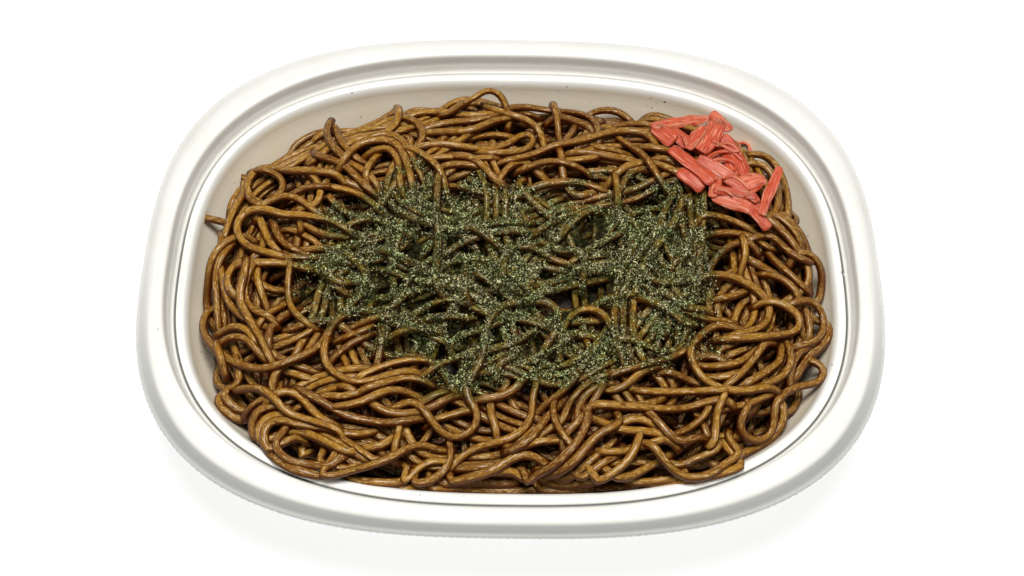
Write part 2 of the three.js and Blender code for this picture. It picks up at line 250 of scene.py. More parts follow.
# The uppermost strands, as points of the camera's image along each one, from the lowest to
# the uppermost in each region.
LEFT_STRANDS = [
    [(236, 228), (250, 222), (264, 216), (278, 214)],
    [(252, 276), (262, 285), (272, 290), (286, 291)],
    [(294, 260), (308, 266), (324, 275), (338, 288)],
    [(228, 230), (236, 217), (248, 208), (264, 205)],
    [(244, 184), (243, 196), (237, 209), (230, 222), (226, 236)],
    [(240, 200), (233, 212), (228, 226), (224, 238)],
    [(205, 218), (215, 220), (227, 223)],
    [(241, 178), (248, 178)],
    [(222, 240), (221, 262), (221, 282), (220, 300), (224, 316)],
    [(236, 240), (227, 250), (219, 262), (216, 280), (217, 300), (218, 320)],
    [(240, 236), (228, 241), (217, 251), (210, 266), (208, 284), (207, 302), (209, 320)],
    [(222, 272), (224, 288), (229, 303), (238, 313), (250, 322), (262, 326)],
    [(238, 262), (229, 272), (227, 284), (231, 293), (240, 299)],
    [(257, 268), (258, 282), (263, 296), (268, 310)],
    [(286, 304), (275, 310), (266, 315), (260, 322)],
    [(290, 313), (278, 320), (270, 329), (268, 342)],
    [(272, 218), (275, 228), (279, 238), (286, 245), (296, 250)],
    [(256, 210), (261, 222), (265, 232), (269, 242), (277, 250)],
    [(221, 334), (229, 328), (239, 327), (248, 331), (254, 339)],
    [(219, 345), (229, 338), (241, 337), (250, 342), (256, 350), (264, 359)],
    [(218, 372), (217, 381), (223, 388), (231, 389), (238, 384), (240, 374), (236, 362)],
    [(216, 399), (222, 408), (230, 415), (240, 421)],
    [(222, 394), (230, 403), (238, 411)],
    [(249, 268), (253, 258), (262, 252), (275, 254), (290, 257), (312, 258)],
    [(241, 264), (252, 264), (265, 263), (280, 263), (292, 265), (304, 268)],
    [(290, 266), (288, 280), (288, 293), (290, 305), (296, 314), (304, 321)],
    [(252, 266), (247, 279), (245, 292), (248, 304), (256, 312), (266, 314)],
    [(246, 266), (243, 280), (240, 292), (241, 304), (248, 317), (256, 330), (263, 343), (271, 360)],
    [(320, 350), (305, 355), (292, 361), (281, 366), (275, 375), (272, 386)],
    [(207, 312), (203, 323), (204, 333), (210, 343), (219, 352), (231, 361), (245, 366), (259, 369),
     (273, 367), (288, 361), (302, 356), (314, 350), (325, 340), (331, 327), (340, 317), (353, 314),
     (368, 317), (385, 321), (403, 326), (420, 327)],
    [(288, 171), (302, 171), (313, 176), (320, 187), (320, 198), (314, 206), (305, 208)],
    [(334, 173), (310, 171), (290, 171), (276, 169), (265, 168), (255, 172), (248, 182),
     (248, 193), (254, 201), (263, 204)],
    [(261, 170), (272, 172), (281, 178), (284, 187), (279, 195), (270, 201), (260, 206), (252, 201)],
    [(292, 195), (300, 190), (310, 187), (320, 186)],
    [(262, 206), (272, 200), (284, 196), (296, 198), (306, 204), (314, 211), (326, 219)],
    [(345, 228), (330, 220), (315, 217), (299, 215), (285, 215), (271, 211), (258, 209), (247, 212),
     (239, 220), (237, 230), (241, 240), (250, 247), (264, 252), (280, 256)],
]
BACK_STRANDS = [
    [(336, 164), (350, 153), (366, 148), (386, 151)],
    [(338, 150), (352, 143), (370, 140), (390, 143)],
    [(405, 119), (416, 114), (430, 112), (448, 113), (470, 116), (492, 114)],
    [(424, 129), (438, 125), (455, 122), (472, 121), (490, 117)],
    [(426, 133), (445, 132), (462, 132), (478, 128), (494, 121), (512, 118)],
    [(430, 158), (450, 157), (470, 159), (486, 158)],
    [(446, 165), (462, 164), (476, 166)],
    [(342, 138), (360, 130), (376, 123), (390, 115), (398, 110)],
    [(320, 173), (334, 175), (345, 181), (358, 187)],
    [(346, 162), (356, 166), (366, 173), (376, 182)],
    [(320, 157), (333, 160), (344, 166), (353, 173), (361, 182), (370, 190)],
    [(336, 129), (340, 140), (348, 150), (354, 156)],
    [(332, 120), (327, 129), (329, 140), (336, 150), (344, 157)],
    [(384, 151), (376, 157), (371, 163), (366, 170)],
    [(376, 150), (385, 148), (393, 152), (398, 161), (400, 173), (400, 186)],
    [(403, 118), (413, 120), (421, 128), (423, 138), (418, 146), (411, 151)],
    [(399, 113), (397, 123), (391, 130), (380, 134), (366, 137), (352, 142)],
    [(345, 158), (353, 149), (363, 143), (376, 140), (389, 141), (399, 147), (405, 158), (409, 170),
     (412, 183)],
    [(370, 137), (384, 134), (395, 136), (404, 143), (411, 153), (416, 166), (423, 179)],
    [(411, 148), (422, 154), (432, 161), (440, 170), (445, 184)],
    [(560, 117), (574, 121), (590, 127)],
    [(560, 112), (575, 113), (589, 117), (597, 126), (599, 138)],
    [(505, 109), (522, 107), (540, 109), (556, 112)],
    [(576, 152), (592, 153), (612, 157), (632, 160)],
    [(562, 161), (578, 160), (592, 158)],
    [(565, 172), (583, 173), (602, 178)],
    [(591, 113), (605, 110), (618, 112), (629, 119)],
    [(620, 126), (634, 124), (648, 124)],
    [(600, 148), (615, 151), (630, 156), (644, 161)],
    [(645, 169), (634, 171), (626, 179), (621, 189)],
    [(642, 163), (628, 166), (619, 172), (611, 181)],
    [(655, 160), (664, 158), (673, 162)],
    [(655, 164), (668, 168), (681, 175)],
    [(500, 178), (509, 167), (520, 162), (531, 166), (541, 176)],
    [(561, 152), (562, 166), (564, 181), (570, 192), (580, 197), (590, 193)],
    [(458, 156), (470, 157), (479, 163), (487, 171), (495, 180)],
    [(422, 146), (440, 144), (458, 146), (476, 149), (492, 149), (506, 145), (517, 138), (527, 134),
     (533, 137), (532, 145), (523, 151), (508, 153), (490, 153), (472, 151)],
    [(554, 107), (557, 118), (558, 129), (559, 141)],
    [(481, 105), (490, 109), (501, 112), (514, 116), (526, 120), (536, 127), (542, 137), (544, 149)],
    [(618, 138), (630, 146), (642, 154), (650, 163), (656, 173), (663, 184)],
    [(505, 161), (520, 158), (535, 154), (548, 148), (562, 144), (580, 141), (597, 136), (613, 132),
     (630, 131), (644, 133), (653, 140), (657, 150)],
    [(649, 147), (660, 149), (672, 151)],
]
MIDDLE_STRANDS = [
    [(422, 322), (438, 317), (454, 316), (470, 319)],
    [(386, 340), (400, 332), (414, 328), (430, 328)],
    [(350, 224), (366, 219), (382, 221), (398, 228)],
    [(674, 306), (690, 313), (706, 319), (724, 321)],
    [(428, 372), (440, 364), (456, 358), (474, 352), (490, 342)],
    [(452, 340), (466, 334), (482, 330), (498, 322)],
    [(480, 352), (498, 348), (516, 342), (532, 332)],
    [(360, 324), (374, 318), (390, 316), (406, 318)],
    [(528, 360), (546, 354), (560, 346), (572, 334)],
    [(584, 312), (598, 304), (612, 298), (628, 294)],
    [(572, 262), (588, 250), (606, 240), (624, 232)],
    [(442, 268), (458, 260), (474, 258), (488, 262)],
    [(528, 190), (546, 184), (566, 182), (586, 184), (602, 190)],
    [(526, 168), (544, 162), (562, 162), (580, 168)],
    [(336, 188), (347, 190), (358, 194), (368, 200), (378, 208)],
    [(322, 268), (331, 279), (344, 283), (357, 281)],
    [(382, 333), (381, 345), (379, 357), (376, 368)],
    [(332, 359), (342, 350), (352, 343), (366, 336)],
    [(346, 337), (356, 333), (368, 329)],
    [(386, 251), (396, 255), (408, 262), (422, 266)],
    [(466, 262), (465, 275), (464, 290)],
    [(350, 257), (361, 266), (366, 278), (364, 290), (356, 300), (346, 309)],
    [(356, 310), (372, 312), (386, 310), (396, 304), (402, 297)],
    [(438, 178), (437, 195), (437, 212), (438, 230), (438, 248), (436, 266), (436, 284)],
    [(476, 229), (490, 224), (506, 222), (522, 223)],
    [(472, 227), (481, 232), (489, 238), (497, 245)],
    [(541, 229), (554, 222), (566, 216), (580, 213)],
    [(558, 239), (568, 227), (577, 218), (588, 211)],
    [(503, 274), (504, 262), (509, 253), (519, 247), (531, 247), (542, 252), (554, 260), (568, 264)],
    [(545, 243), (553, 249), (563, 252), (573, 249), (581, 253), (585, 262), (584, 274)],
    [(676, 188), (670, 200), (664, 212), (660, 226)],
    [(682, 200), (678, 214), (671, 229)],
    [(703, 188), (704, 205), (703, 220), (702, 236), (700, 252), (699, 266), (702, 280)],
    [(616, 180), (618, 195), (618, 210), (622, 225)],
    [(652, 280), (664, 283), (677, 283), (690, 279), (702, 275)],
    [(650, 301), (662, 306), (672, 312), (681, 321)],
    [(666, 293), (676, 301), (687, 308), (700, 309)],
    [(620, 338), (634, 340), (647, 346), (659, 351), (672, 351), (685, 345)],
    [(560, 345), (563, 330), (569, 318), (580, 310), (592, 309), (604, 315), (611, 327)],
    [(610, 391), (622, 388), (632, 380), (643, 371), (656, 366)],
    [(668, 371), (680, 376), (692, 382), (704, 386)],
    [(744, 331), (728, 326), (714, 326), (703, 333), (694, 343), (684, 351), (670, 358), (655, 362),
     (640, 366), (624, 370), (608, 376), (596, 384), (586, 396), (578, 409), (575, 423)],
]
FRONT_STRANDS = [
    [(350, 480), (380, 485), (410, 488), (440, 489)],
    [(428, 488), (470, 490), (510, 491), (552, 491)],
    [(540, 491), (580, 490), (620, 488), (658, 484)],
    [(646, 486), (682, 482), (716, 475), (744, 466)],
    [(218, 350), (222, 360)],
    [(345, 478), (362, 481), (382, 483), (402, 483)],
    [(262, 440), (267, 451), (277, 460), (290, 468), (306, 473), (325, 477)],
    [(440, 484), (465, 483), (490, 483), (515, 484)],
    [(545, 484), (568, 485), (590, 483), (606, 478), (620, 469)],
    [(560, 482), (575, 474), (589, 462), (601, 452), (612, 443)],
    [(580, 480), (592, 471), (605, 462), (618, 455)],
    [(626, 483), (645, 482), (665, 480), (688, 478)],
    [(368, 448), (378, 447), (387, 443), (394, 437)],
    [(399, 430), (396, 441), (394, 453)],
    [(320, 442), (333, 449), (346, 458), (358, 467)],
    [(325, 437), (340, 444), (354, 452), (368, 462)],
    [(345, 440), (356, 447), (367, 455), (378, 462)],
    [(318, 462), (334, 466), (350, 470)],
    [(303, 438), (304, 448), (300, 457)],
    [(283, 434), (292, 431), (304, 433), (318, 438), (332, 445), (346, 452)],
    [(242, 421), (247, 411), (254, 404), (263, 399), (273, 396)],
    [(254, 441), (252, 428), (254, 417), (261, 409), (272, 406), (284, 407)],
    [(260, 444), (258, 430), (263, 421), (273, 416), (285, 415), (298, 420)],
    [(267, 451), (264, 440), (264, 430), (271, 422), (283, 420), (299, 425), (316, 427), (332, 430),
     (348, 434), (366, 434)],
    [(274, 442), (278, 451), (286, 459), (297, 463), (312, 465), (330, 467)],
    [(325, 395), (340, 397), (355, 394), (370, 389)],
    [(365, 388), (378, 385), (391, 381), (405, 378), (420, 379)],
    [(324, 346), (324, 358), (330, 369), (341, 377), (354, 382), (368, 381), (382, 377), (397, 373),
     (410, 371)],
    [(360, 376), (373, 370), (387, 365), (401, 361), (418, 359)],
    [(276, 394), (286, 391), (296, 394), (304, 400), (311, 409), (320, 418), (332, 424)],
    [(245, 389), (257, 388), (268, 393), (276, 400), (283, 409), (292, 415), (306, 419), (322, 424),
     (338, 429)],
    [(304, 392), (316, 398), (328, 405), (341, 413), (355, 418), (371, 421), (388, 423), (404, 421),
     (420, 418)],
    [(372, 403), (380, 409), (391, 413), (404, 414), (418, 412)],
    [(340, 406), (353, 404), (366, 400), (378, 394), (390, 390), (403, 391), (413, 395), (424, 401)],
    [(420, 404), (430, 398), (440, 392)],
    [(428, 409), (438, 404), (450, 397)],
    [(438, 418), (452, 415), (466, 410)],
    [(402, 484), (411, 476), (419, 468), (428, 462), (438, 461), (447, 462)],
    [(320, 476), (335, 475), (350, 471), (365, 467), (380, 462), (394, 456), (406, 449), (418, 445),
     (428, 446), (437, 450)],
    [(460, 469), (475, 468), (490, 466)],
    [(488, 474), (500, 471), (512, 471), (520, 475), (526, 483)],
    [(450, 483), (464, 479), (480, 475), (496, 469), (508, 461), (518, 456), (529, 455), (539, 459),
     (547, 466)],
    [(490, 404), (491, 415), (495, 425), (497, 436)],
    [(472, 401), (486, 399), (498, 397), (509, 393), (517, 387), (523, 379)],
    [(520, 448), (535, 442), (548, 441), (560, 440)],
    [(566, 399), (556, 409), (547, 418), (539, 428), (531, 438), (520, 446)],
    [(578, 374), (567, 387), (557, 396), (546, 404), (537, 414)],
    [(536, 384), (533, 396), (532, 408), (530, 420), (524, 429), (515, 436), (503, 441), (490, 444),
     (477, 448), (466, 454), (456, 462), (450, 470)],
    [(448, 438), (451, 450), (450, 461), (445, 470), (437, 477), (427, 482), (413, 484)],
    [(563, 420), (567, 408), (574, 397), (583, 387), (594, 380), (606, 374)],
    [(578, 424), (578, 410), (583, 399), (592, 390), (604, 384)],
    [(603, 386), (596, 397), (590, 408), (582, 418), (573, 427), (564, 436)],
    [(553, 410), (555, 421), (561, 432), (568, 440), (574, 448)],
    [(600, 404), (620, 406), (640, 407), (660, 409), (680, 409), (694, 406), (707, 402), (722, 399)],
    [(640, 391), (660, 392), (680, 392), (700, 391), (720, 390)],
    [(620, 424), (632, 419), (644, 420), (654, 426)],
    [(596, 420), (608, 425), (622, 430), (638, 431), (655, 433), (668, 437)],
    [(606, 452), (618, 452), (630, 451)],
    [(640, 446), (652, 443), (664, 439)],
    [(614, 478), (628, 477), (641, 471), (654, 464), (666, 457)],
    [(700, 418), (706, 430), (708, 440), (712, 448)],
    [(652, 415), (660, 424), (667, 432), (674, 439), (684, 442), (694, 438)],
    [(680, 433), (690, 428), (700, 420), (708, 411)],
    [(548, 477), (561, 471), (573, 462), (584, 450), (594, 438), (604, 431), (616, 426)],
    [(528, 485), (530, 479), (538, 474), (549, 468), (560, 460), (569, 451), (578, 441), (584, 430),
     (589, 417)],
    [(639, 438), (635, 449), (628, 460), (619, 469), (608, 476), (599, 483)],
    [(680, 467), (692, 460), (706, 455), (720, 449)],
    [(724, 397), (718, 408), (716, 421), (715, 434), (713, 447)],
    [(654, 446), (661, 456), (669, 466), (679, 474), (692, 478), (705, 476), (717, 470), (728, 462),
     (741, 454)],
    [(398, 407), (407, 402), (416, 403), (424, 410), (431, 420), (438, 429), (447, 436), (457, 438),
     (467, 434), (475, 427), (478, 418), (475, 408), (469, 399), (466, 389), (470, 379), (478, 366),
     (483, 352), (485, 337), (488, 323), (496, 311), (508, 304), (523, 302), (538, 301), (551, 304),
     (558, 312), (558, 324), (553, 336), (545, 348)],
]
RIGHT_STRANDS = [
    [(750, 260), (763, 268), (777, 276), (790, 287)],
    [(764, 226), (776, 233), (786, 243), (792, 255)],
    [(746, 155), (758, 154), (768, 158), (776, 166), (782, 177), (786, 189), (788, 203), (787, 219)],
    [(776, 184), (778, 197), (777, 210), (770, 218)],
    [(748, 163), (760, 164), (769, 170), (774, 180)],
    [(705, 214), (716, 216), (727, 219), (738, 223), (750, 229)],
    [(784, 216), (794, 226), (802, 236), (807, 249), (812, 262)],
    [(774, 214), (786, 222), (795, 232), (801, 244), (802, 256)],
    [(768, 218), (778, 227), (788, 237), (797, 249)],
    [(800, 252), (811, 255), (819, 264), (822, 276), (821, 290), (819, 302)],
    [(806, 262), (809, 273), (808, 284), (800, 292), (789, 299)],
    [(768, 254), (779, 265), (791, 275), (800, 284)],
    [(770, 275), (781, 278), (790, 285), (797, 292)],
    [(714, 234), (730, 233), (745, 235), (757, 240), (768, 248)],
    [(752, 239), (762, 235), (773, 237), (781, 244), (789, 252), (799, 258), (810, 262)],
    [(709, 269), (717, 257), (726, 248), (737, 243), (748, 242)],
    [(744, 243), (746, 255), (742, 266)],
    [(720, 298), (732, 297), (743, 292)],
    [(828, 324), (829, 335), (823, 345), (813, 353), (805, 362), (798, 374)],
    [(703, 356), (714, 356), (726, 362)],
    [(704, 367), (720, 366), (735, 364), (748, 357), (758, 348)],
    [(740, 373), (726, 377), (712, 378)],
    [(810, 346), (800, 352), (793, 362), (790, 374)],
    [(763, 345), (756, 356), (747, 367), (737, 377), (728, 384)],
    [(781, 350), (780, 361), (770, 369), (758, 377), (746, 384)],
    [(790, 350), (791, 362), (786, 373), (775, 381), (760, 386)],
    [(728, 407), (742, 406), (754, 402), (766, 396)],
    [(718, 436), (730, 437), (742, 438)],
    [(700, 466), (714, 460), (728, 452), (744, 446)],
    [(800, 392), (796, 404), (789, 414)],
    [(782, 402), (784, 413), (782, 424), (775, 434), (764, 443), (750, 450), (736, 458), (722, 469)],
    [(748, 408), (741, 419), (741, 431), (748, 439), (759, 441), (769, 436), (774, 425), (774, 411),
     (778, 399), (788, 391), (800, 386), (813, 384), (822, 379), (824, 369), (815, 362)],
    [(690, 352), (693, 364), (699, 374), (709, 383), (722, 389), (738, 391), (752, 390), (766, 387)],
    [(700, 277), (714, 275), (727, 276), (740, 280), (752, 287), (763, 296), (769, 307), (768, 319),
     (760, 328), (748, 332), (736, 334)],
    [(792, 304), (804, 300), (815, 303), (822, 313), (824, 325), (820, 337), (811, 343), (799, 346)],
    [(768, 301), (780, 303), (790, 309), (799, 317), (800, 327), (791, 333), (778, 335), (762, 337),
     (745, 338), (728, 339)],
]
# Strands whose middle stands clear of the heap, with that rise in millimetres.
ARCHED_STRANDS = [
    (7.0, [(452, 113), (462, 105), (474, 98), (485, 91), (494, 91), (502, 97), (506, 107), (508, 113)]),
]

# The ends of strands that lie on top, cut and bare. All other ends go down into the heap.
BARE_ENDS = {(332, 120), (398, 110), (481, 105), (205, 218), (241, 178), (746, 155), (620, 469)}

# Ginger: the width in pixels, the rise over the heap at both ends, and points along the strip.
GINGER_SLICES = [
    (27, 0.0, 0.0, [(688, 138), (708, 148), (730, 158)]),
    (28, 0.0, 0.0, [(702, 166), (722, 182), (740, 196)]),
    (26, 0.0, 0.0, [(716, 140), (730, 154), (742, 176)]),
    (18, 0.0, 0.0, [(664, 128), (678, 136), (690, 146)]),
    (17, 0.0, 0.2, [(679, 170), (690, 178), (704, 188)]),
    (20, 0.0, 0.0, [(734, 188), (748, 182), (764, 178)]),
    (17, 0.2, 0.0, [(654, 127), (663, 134), (674, 142)]),
    (18, 0.0, 0.4, [(712, 195), (728, 199), (742, 204), (754, 209), (764, 215)]),
    (12, 0.2, 0.0, [(717, 166), (716, 182), (712, 197)]),
    (18, 0.8, 0.2, [(671, 148), (684, 158), (698, 169), (714, 182)]),
    (14, 0.2, 0.8, [(651, 126), (668, 124), (684, 122), (700, 119), (713, 118)]),
    (22, 0.8, 0.4, [(718, 117), (715, 128), (708, 140), (700, 151)]),
    (13, 0.6, 0.2, [(711, 113), (720, 121), (730, 131)]),
    (11, 0.6, 0.4, [(704, 126), (697, 136), (688, 149)]),
    (14, 0.2, 0.8, [(698, 158), (712, 166), (724, 174), (736, 183), (748, 192), (758, 202)]),
    (9, 0.4, 0.4, [(714, 190), (728, 191), (742, 194), (757, 197)]),
    (12, 0.6, 0.0, [(751, 209), (760, 219), (769, 229)]),
    (11, 4.5, 0.6, [(780, 167), (774, 182), (767, 198), (762, 215)]),
]
GINGER_SHREDS = [
    (5, 0.2, 0.2, [(738, 169), (744, 176), (752, 176)]),
    (4, 0.4, 0.4, [(680, 134), (684, 138), (687, 145)]),
    (3, 0.4, 0.4, [(717, 190), (726, 191), (733, 196)]),
    (4, 0.2, 0.6, [(708, 157), (718, 152), (732, 152), (743, 161)]),
    (4, 0.2, 0.8, [(724, 136), (734, 142), (746, 143), (750, 149), (747, 157)]),
    (4, 0.6, 0.6, [(716, 146), (726, 143), (736, 148), (742, 156)]),
    (4, 0.6, 0.6, [(710, 162), (720, 159), (733, 162), (736, 169), (726, 171)]),
    (4, 0.8, 0.8, [(712, 141), (724, 146), (733, 151), (740, 150)]),
    (4, 0.6, 0.6, [(740, 144), (738, 152), (744, 160)]),
    (5, 0.4, 0.4, [(722, 178), (732, 176), (742, 182), (750, 190)]),
    (4, 0.4, 0.4, [(744, 196), (756, 190), (764, 182)]),
]

# Sauce specks on the tray: the image point of each and its size in millimetres.
SAUCE_SPECKS = [
    (665, 102, 0.8), (652, 108, 0.6), (651, 98, 0.5), (657, 103, 0.4), (647, 106, 0.4),
    (352, 93, 0.6), (434, 109, 0.5), (392, 109, 0.5), (361, 117, 0.6), (567, 87, 0.5),
    (590, 102, 0.5), (504, 86, 0.4), (526, 94, 0.4), (558, 91, 0.4), (206, 212, 0.6),
    (234, 183, 0.5), (201, 352, 0.6), (205, 358, 0.4), (199, 361, 0.4), (208, 366, 0.5),
    (212, 387, 0.5), (832, 365, 0.7), (827, 309, 0.5), (808, 236, 0.6), (819, 411, 0.5),
    (420, 495, 0.5), (459, 493, 0.5), (464, 496, 0.4), (470, 492, 0.4), (158, 329, 0.5),
]

# Where laver lies thick: the image point of each lobe's middle, its half sizes and its strength.
# A strength under zero takes laver away.
LAVER_LOBES = [
    (430, 236, 76, 56, 0.95), (500, 276, 104, 72, 0.95), (672, 250, 44, 62, 0.75),
    (616, 250, 68, 58, 0.85), (460, 356, 40, 42, 0.75), (556, 362, 72, 34, 0.7),
    (324, 288, 34, 36, 0.45), (362, 250, 42, 46, 0.75), (650, 336, 60, 38, 0.4),
    (684, 308, 34, 34, 0.3), (400, 308, 54, 44, 0.7), (540, 196, 80, 18, 0.25),
    (486, 241, 16, 8, -0.7), (560, 260, 24, 9, -0.7), (586, 197, 28, 11, -0.7),
    (492, 364, 20, 10, -0.6), (572, 306, 26, 9, -0.6), (362, 324, 24, 9, -0.6),
    (606, 290, 18, 8, -0.5),
]


# ---------------------------------------------------------------- ovals and heights

def squareness(inset):
    return np.interp(inset, SQUARENESS_INSETS, SQUARENESS_VALUES)


def reach(inset, x, y):
    """How far out a point is: 0 at the centre, 1 on the oval at that inset."""
    power = squareness(inset)
    along = np.abs(x / (TRAY_HALF_LENGTH - inset)) ** power
    across = np.abs(y / (TRAY_HALF_WIDTH - inset)) ** power
    return (along + across) ** (1 / power)


def wall_inset(height):
    """The inset of the tray's sloping wall at a height over the ground."""
    return SHOULDER_INSET + (LIP_HEIGHT - SHOULDER_DROP - height) / WALL_SLOPE


HEAP_INSET = wall_inset(HEAP_EDGE_HEIGHT)
FILLING_INSET = HEAP_INSET + FILLING_MARGIN
CORE_INSET = HEAP_INSET + CORE_MARGIN


def heap_height(x, y):
    """The heap's smooth surface, which is low along the wall and flat on top."""
    out = np.minimum(reach(HEAP_INSET, x, y), 1)
    crown = (1 - out ** HEAP_CREST) ** HEAP_FLANK
    return HEAP_EDGE_HEIGHT + (HEAP_TOP_HEIGHT - HEAP_EDGE_HEIGHT) * crown


def wall_height(x, y):
    """The tray's inner surface under a point, taken as a wall that ends on a flat floor."""
    out = reach(SHOULDER_INSET, x, y)
    inside = (1 - out) * (TRAY_HALF_WIDTH - SHOULDER_INSET)
    return np.maximum(LIP_HEIGHT - SHOULDER_DROP - inside * WALL_SLOPE, SHEET)


def into_filling(x, y):
    """The point itself, or where it lies past the filling's edge, that edge on the way to it."""
    beyond = max(float(reach(FILLING_INSET, x, y)), 1)
    return x / beyond, y / beyond


# ---------------------------------------------------------------- making meshes

def add_object(name, data):
    piece = bpy.data.objects.new(name, data)
    bpy.context.scene.collection.objects.link(piece)
    return piece


def finish_bmesh(name, shape):
    """A smooth-shaded object from a bmesh in millimetres."""
    mesh = bpy.data.meshes.new(name)
    bmesh.ops.scale(shape, vec=(MM, MM, MM), verts=shape.verts)
    shape.to_mesh(mesh)
    shape.free()
    mesh.shade_smooth()
    return add_object(name, mesh)


def joined_mesh(name, vertices, faces):
    """One flat-shaded mesh from the joined arrays of many small alike things."""
    mesh = bpy.data.meshes.new(name)
    mesh.from_pydata((vertices * MM).tolist(), [], faces.tolist())
    mesh.validate()
    mesh.shade_flat()
    return add_object(name, mesh)


def add_attribute(piece, name, values):
    attribute = piece.data.attributes.new(name, "FLOAT", "POINT")
    attribute.data.foreach_set("value", np.asarray(values, np.float32))


def paint(piece, material):
    piece.data.materials.clear()
    piece.data.materials.append(material)


def places_of(piece):
    """The mesh's vertices, in millimetres."""
    places = np.zeros(len(piece.data.vertices) * 3)
    piece.data.vertices.foreach_get("co", places)
    return places.reshape(-1, 3) / MM


# ---------------------------------------------------------------- camera, floor and light

def camera_place():
    back = Vector((0, -math.cos(CAMERA_ELEVATION), math.sin(CAMERA_ELEVATION)))
    turn = (-back).to_track_quat("-Z", "Y").to_matrix() @ Matrix.Rotation(CAMERA_ROLL, 3, "Z")
    return Matrix.Translation(CAMERA_AIM + back * CAMERA_DISTANCE) @ turn.to_4x4()


def add_camera():
    data = bpy.data.cameras.new("camera")
    data.sensor_width = SENSOR_WIDTH
    data.lens = FOCAL_PIXELS * SENSOR_WIDTH / IMAGE_WIDTH
    data.clip_start = NEAREST_SEEN * MM
    camera = add_object("camera", data)
    place = camera_place()
    place.translation *= MM
    camera.matrix_world = place
    bpy.context.scene.camera = camera


class Sight:
    """Carries points between the camera's image, in pixels, and the scene."""

    def __init__(self):
        place = camera_place()
        self.eye = np.array(place.translation)
        self.turn = np.array(place.to_3x3())

    def rays(self, line):
        """The directions from the camera through points of its image."""
        line = np.array(line, float)
        across = (line[:, 0] - IMAGE_WIDTH / 2) / FOCAL_PIXELS
        up = (IMAGE_HEIGHT / 2 - line[:, 1]) / FOCAL_PIXELS
        return np.column_stack([across, up, -np.ones(len(line))]) @ self.turn.T

    def at_height(self, rays, heights):
        """Where rays pass these heights, in plan."""
        share = (heights - self.eye[2]) / rays[:, 2]
        return self.eye[:2] + rays[:, :2] * share[:, None]

    def image(self, places):
        """The image points at which places show."""
        local = (places - self.eye) @ self.turn
        scaled = local[:, :2] / -local[:, 2:] * FOCAL_PIXELS
        return np.column_stack([IMAGE_WIDTH / 2 + scaled[:, 0], IMAGE_HEIGHT / 2 - scaled[:, 1]])


def add_softbox():
    """A round lamp over the tray, which faces its middle."""
    data = bpy.data.lights.new("softbox", "AREA")
    data.shape = "DISK"
    data.size = LIGHT_SIZE
    data.energy = LIGHT_POWER
    light = add_object("softbox", data)
    light.location = LIGHT_PLACE
    light.rotation_euler = (-Vector(LIGHT_PLACE)).to_track_quat("-Z", "Y").to_euler()


def add_studio():
    shape = bmesh.new()
    bmesh.ops.create_grid(shape, x_segments=1, y_segments=1, size=FLOOR_HALF_WIDTH)
    floor = finish_bmesh("floor", shape)
    paint(floor, floor_finish())
    add_softbox()
    world = bpy.data.worlds.new("studio")
    world.use_nodes = True
    background = world.node_tree.nodes["Background"]
    background.inputs["Color"].default_value = WHITE
    background.inputs["Strength"].default_value = WORLD_STRENGTH
    scene = bpy.context.scene
    scene.world = world
    scene.view_settings.view_transform = "Standard"


# ---------------------------------------------------------------- colours

def colour(red, green, blue):
    """A colour from its eight-bit screen values."""
    def linear(value):
        value /= 255
        return value / 12.92 if value <= 0.04045 else ((value + 0.055) / 1.055) ** 2.4
    return (linear(red), linear(green), linear(blue), 1.0)


WHITE = (1.0, 1.0, 1.0, 1.0)
FLOOR_GREY = colour(150, 150, 150)
TRAY_WHITE = colour(249, 247, 239)
TRAY_CLOUD = colour(243, 241, 231)
# The inner wall's warm film: partly sauce, partly painted shade and painted bounced light.
TRAY_SAUCE_FILM = colour(248, 234, 206)
# The skirt's grey and the groove's dark grey are painted shade.
SKIRT_GREY = colour(184, 184, 180)
GROOVE_GREY = colour(112, 112, 106)
NOODLE_BROWN = colour(120, 76, 12)
NOODLE_GOLD = colour(171, 125, 31)
# Painted shade on the noodles' flanks
NOODLE_FLANK = colour(76, 23, 1)
# Painted shade in the heap's crevices, partly sauce pooled there
NOODLE_SOAKED = colour(70, 20, 2)
NOODLE_SPOT = colour(90, 42, 9)
# Painted glints along the noodles' tops
NOODLE_GLINT = colour(228, 200, 140)
NOODLE_SHINE = colour(255, 222, 160)
OIL_TINT = colour(255, 226, 176)
# The packed core's near black is painted shade.
CORE_DARK = colour(30, 14, 3)
CORE_BROWN = colour(72, 38, 8)
LAVER_DARK = colour(12, 13, 1)
LAVER_GREEN = colour(104, 105, 40)
# The laver's pale tips are painted highlights.
LAVER_TIP = colour(246, 244, 190)
DUST_DARK = colour(16, 18, 4)
DUST_PALE = colour(116, 118, 66)
GINGER_RED = colour(200, 72, 34)
GINGER_PINK = colour(226, 118, 82)
GINGER_DEEP = colour(184, 56, 22)
GINGER_STREAK = colour(246, 172, 142)
SPECK_DARK = colour(74, 44, 20)
SPECK_BROWN = colour(128, 86, 44)
# Casts, by which a colour below them is multiplied
OLIVE_FILM = (0.4, 0.54, 0.36, 1.0)
FADED_CAST = (1.0, 0.97, 0.98, 1.0)
FRESH_CAST = (0.91, 1.01, 0.86, 1.0)


# ---------------------------------------------------------------- shader helpers

# A mix node's colour inputs, and its colour output
MIX_FIRST, MIX_SECOND, MIX_COLOUR = 6, 7, 2
# Between which values most of a noise lies
NOISE_SPREAD = (0.3, 0.7)


